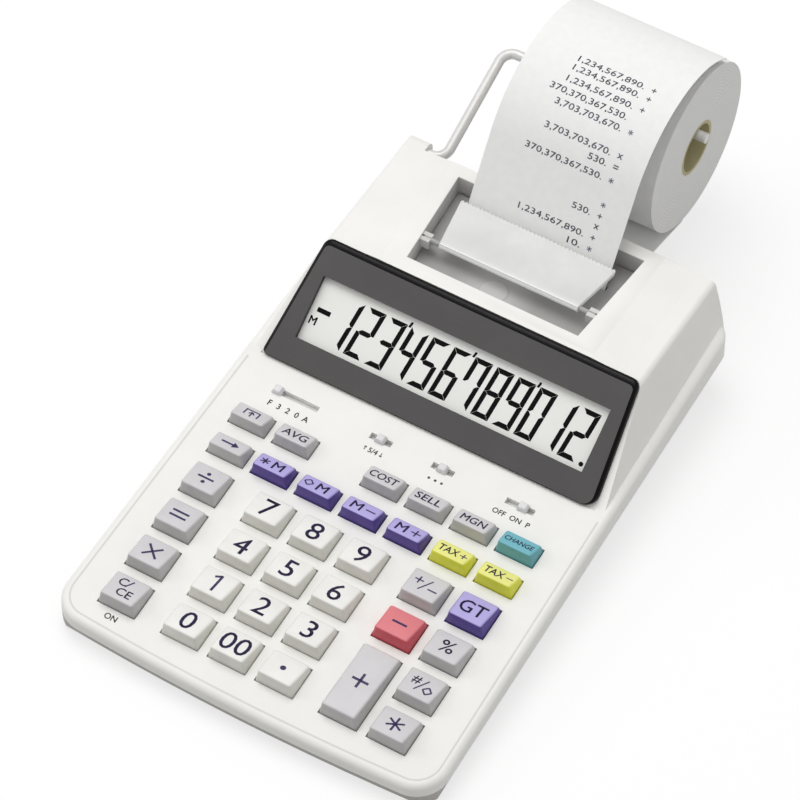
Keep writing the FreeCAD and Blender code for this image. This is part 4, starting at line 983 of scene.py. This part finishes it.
def screw_slots():
    """Dark crosses that face down: painted shade for the slots' hollows."""
    data = bmesh.new()
    turned = Matrix.Rotation(math.pi, 4, "X")
    for x, y in SCREWS:
        lay(data, CROSS, IN_CASE @ Matrix.Translation((x, y, SCREW_FACE - INK_LIFT)) @ turned)
    finished("screw_slots", data, (BLACK,), "case")


screw_slots()


# Floor, light and camera

FLOOR_SHADE, FLOOR_GLOW, FLOOR_BOUNCE = 0.30, 0.70, 0.5
FLOOR_SIZE, FLOOR_LEVEL, WORLD_LIGHT = 6.0, -0.0002, 0.50


def floor_material():
    """Pale floor: near white to the eye, with a soft shadow; a quiet grey for the light it throws back."""
    s = Shader("floor_pale")
    s.colour(s.mix(s.noise(3.0), (FLOOR_SHADE,) * 3, (FLOOR_SHADE * 1.02,) * 3))
    s.constant(Roughness=0.9, Emission_Color=(1, 1, 1, 1), Emission_Strength=FLOOR_GLOW)
    bounce = s.add("ShaderNodeBsdfDiffuse")
    bounce.inputs["Color"].default_value = (FLOOR_BOUNCE, FLOOR_BOUNCE, FLOOR_BOUNCE, 1)
    ray = s.add("ShaderNodeLightPath")
    seen = ray.outputs["Is Camera Ray"]
    for kind in ("Is Glossy Ray", "Is Transmission Ray"):
        seen = s.maths("MAXIMUM", seen, ray.outputs[kind])
    s.blend(seen, bounce, s.bsdf)
    return s.material


floor_data = bmesh.new()
bmesh.ops.create_grid(floor_data, x_segments=1, y_segments=1, size=FLOOR_SIZE)
floor_mesh = bpy.data.meshes.new("floor")
floor_data.to_mesh(floor_mesh)
floor_data.free()
floor = bpy.data.objects.new("floor", floor_mesh)
bpy.context.collection.objects.link(floor)
floor.location.z = FLOOR_LEVEL
floor_mesh.materials.append(floor_material())

scene = bpy.context.scene
world = bpy.data.worlds.new("studio")
world.use_nodes = True
sky = world.node_tree.nodes["Background"].inputs
sky["Color"].default_value = (1.0, 1.0, 1.0, 1)
sky["Strength"].default_value = WORLD_LIGHT
scene.world = world

# Lamps: name, place, target, size in metres, power in watts
LAMPS = (
    ("top_light", (-0.35, 0.25, 1.5), (0, 0, 0.03), 1.1, 11.0),
    ("left_light", (-1.3, -0.5, 0.9), (0, 0, 0.03), 0.9, 3.6),
    ("right_light", (1.5, 0.5, 0.5), (0, 0.1, 0.06), 0.8, 1.7),
)


def softbox(name, place, target, size, power):
    """Round soft lamp turned to its target."""
    data = bpy.data.lights.new(name, "AREA")
    data.shape = "DISK"
    data.size = size
    data.energy = power
    item = bpy.data.objects.new(name, data)
    bpy.context.collection.objects.link(item)
    item.location = place
    item.rotation_euler = (Vector(target) - Vector(place)).to_track_quat("-Z", "Y").to_euler()


for lamp in LAMPS:
    softbox(*lamp)

CAMERA_AT = (0.4750496, -0.8108544, 1.2246905)
CAMERA_AZIMUTH, CAMERA_ELEVATION, CAMERA_ROLL = 31.6214, 52.1981, -0.5525
FRAME_PIXELS, FOCAL_PIXELS, SENSOR, CLIP_NEAR, CLIP_FAR = 800, 4429.808, 36.0, 0.05, 50.0
lens = bpy.data.cameras.new("camera")
lens.lens = SENSOR * FOCAL_PIXELS / FRAME_PIXELS
lens.sensor_width = SENSOR
lens.dof.use_dof = False
lens.clip_start = CLIP_NEAR
lens.clip_end = CLIP_FAR
camera = bpy.data.objects.new("camera", lens)
bpy.context.collection.objects.link(camera)
turn = Matrix.Rotation(math.radians(CAMERA_AZIMUTH), 4, "Z")
tip = Matrix.Rotation(math.radians(90 - CAMERA_ELEVATION), 4, "X")
roll = Matrix.Rotation(math.radians(CAMERA_ROLL), 4, "Z")
camera.matrix_world = Matrix.Translation(CAMERA_AT) @ turn @ tip @ roll
scene.camera = camera
scene.view_settings.view_transform = "Standard"
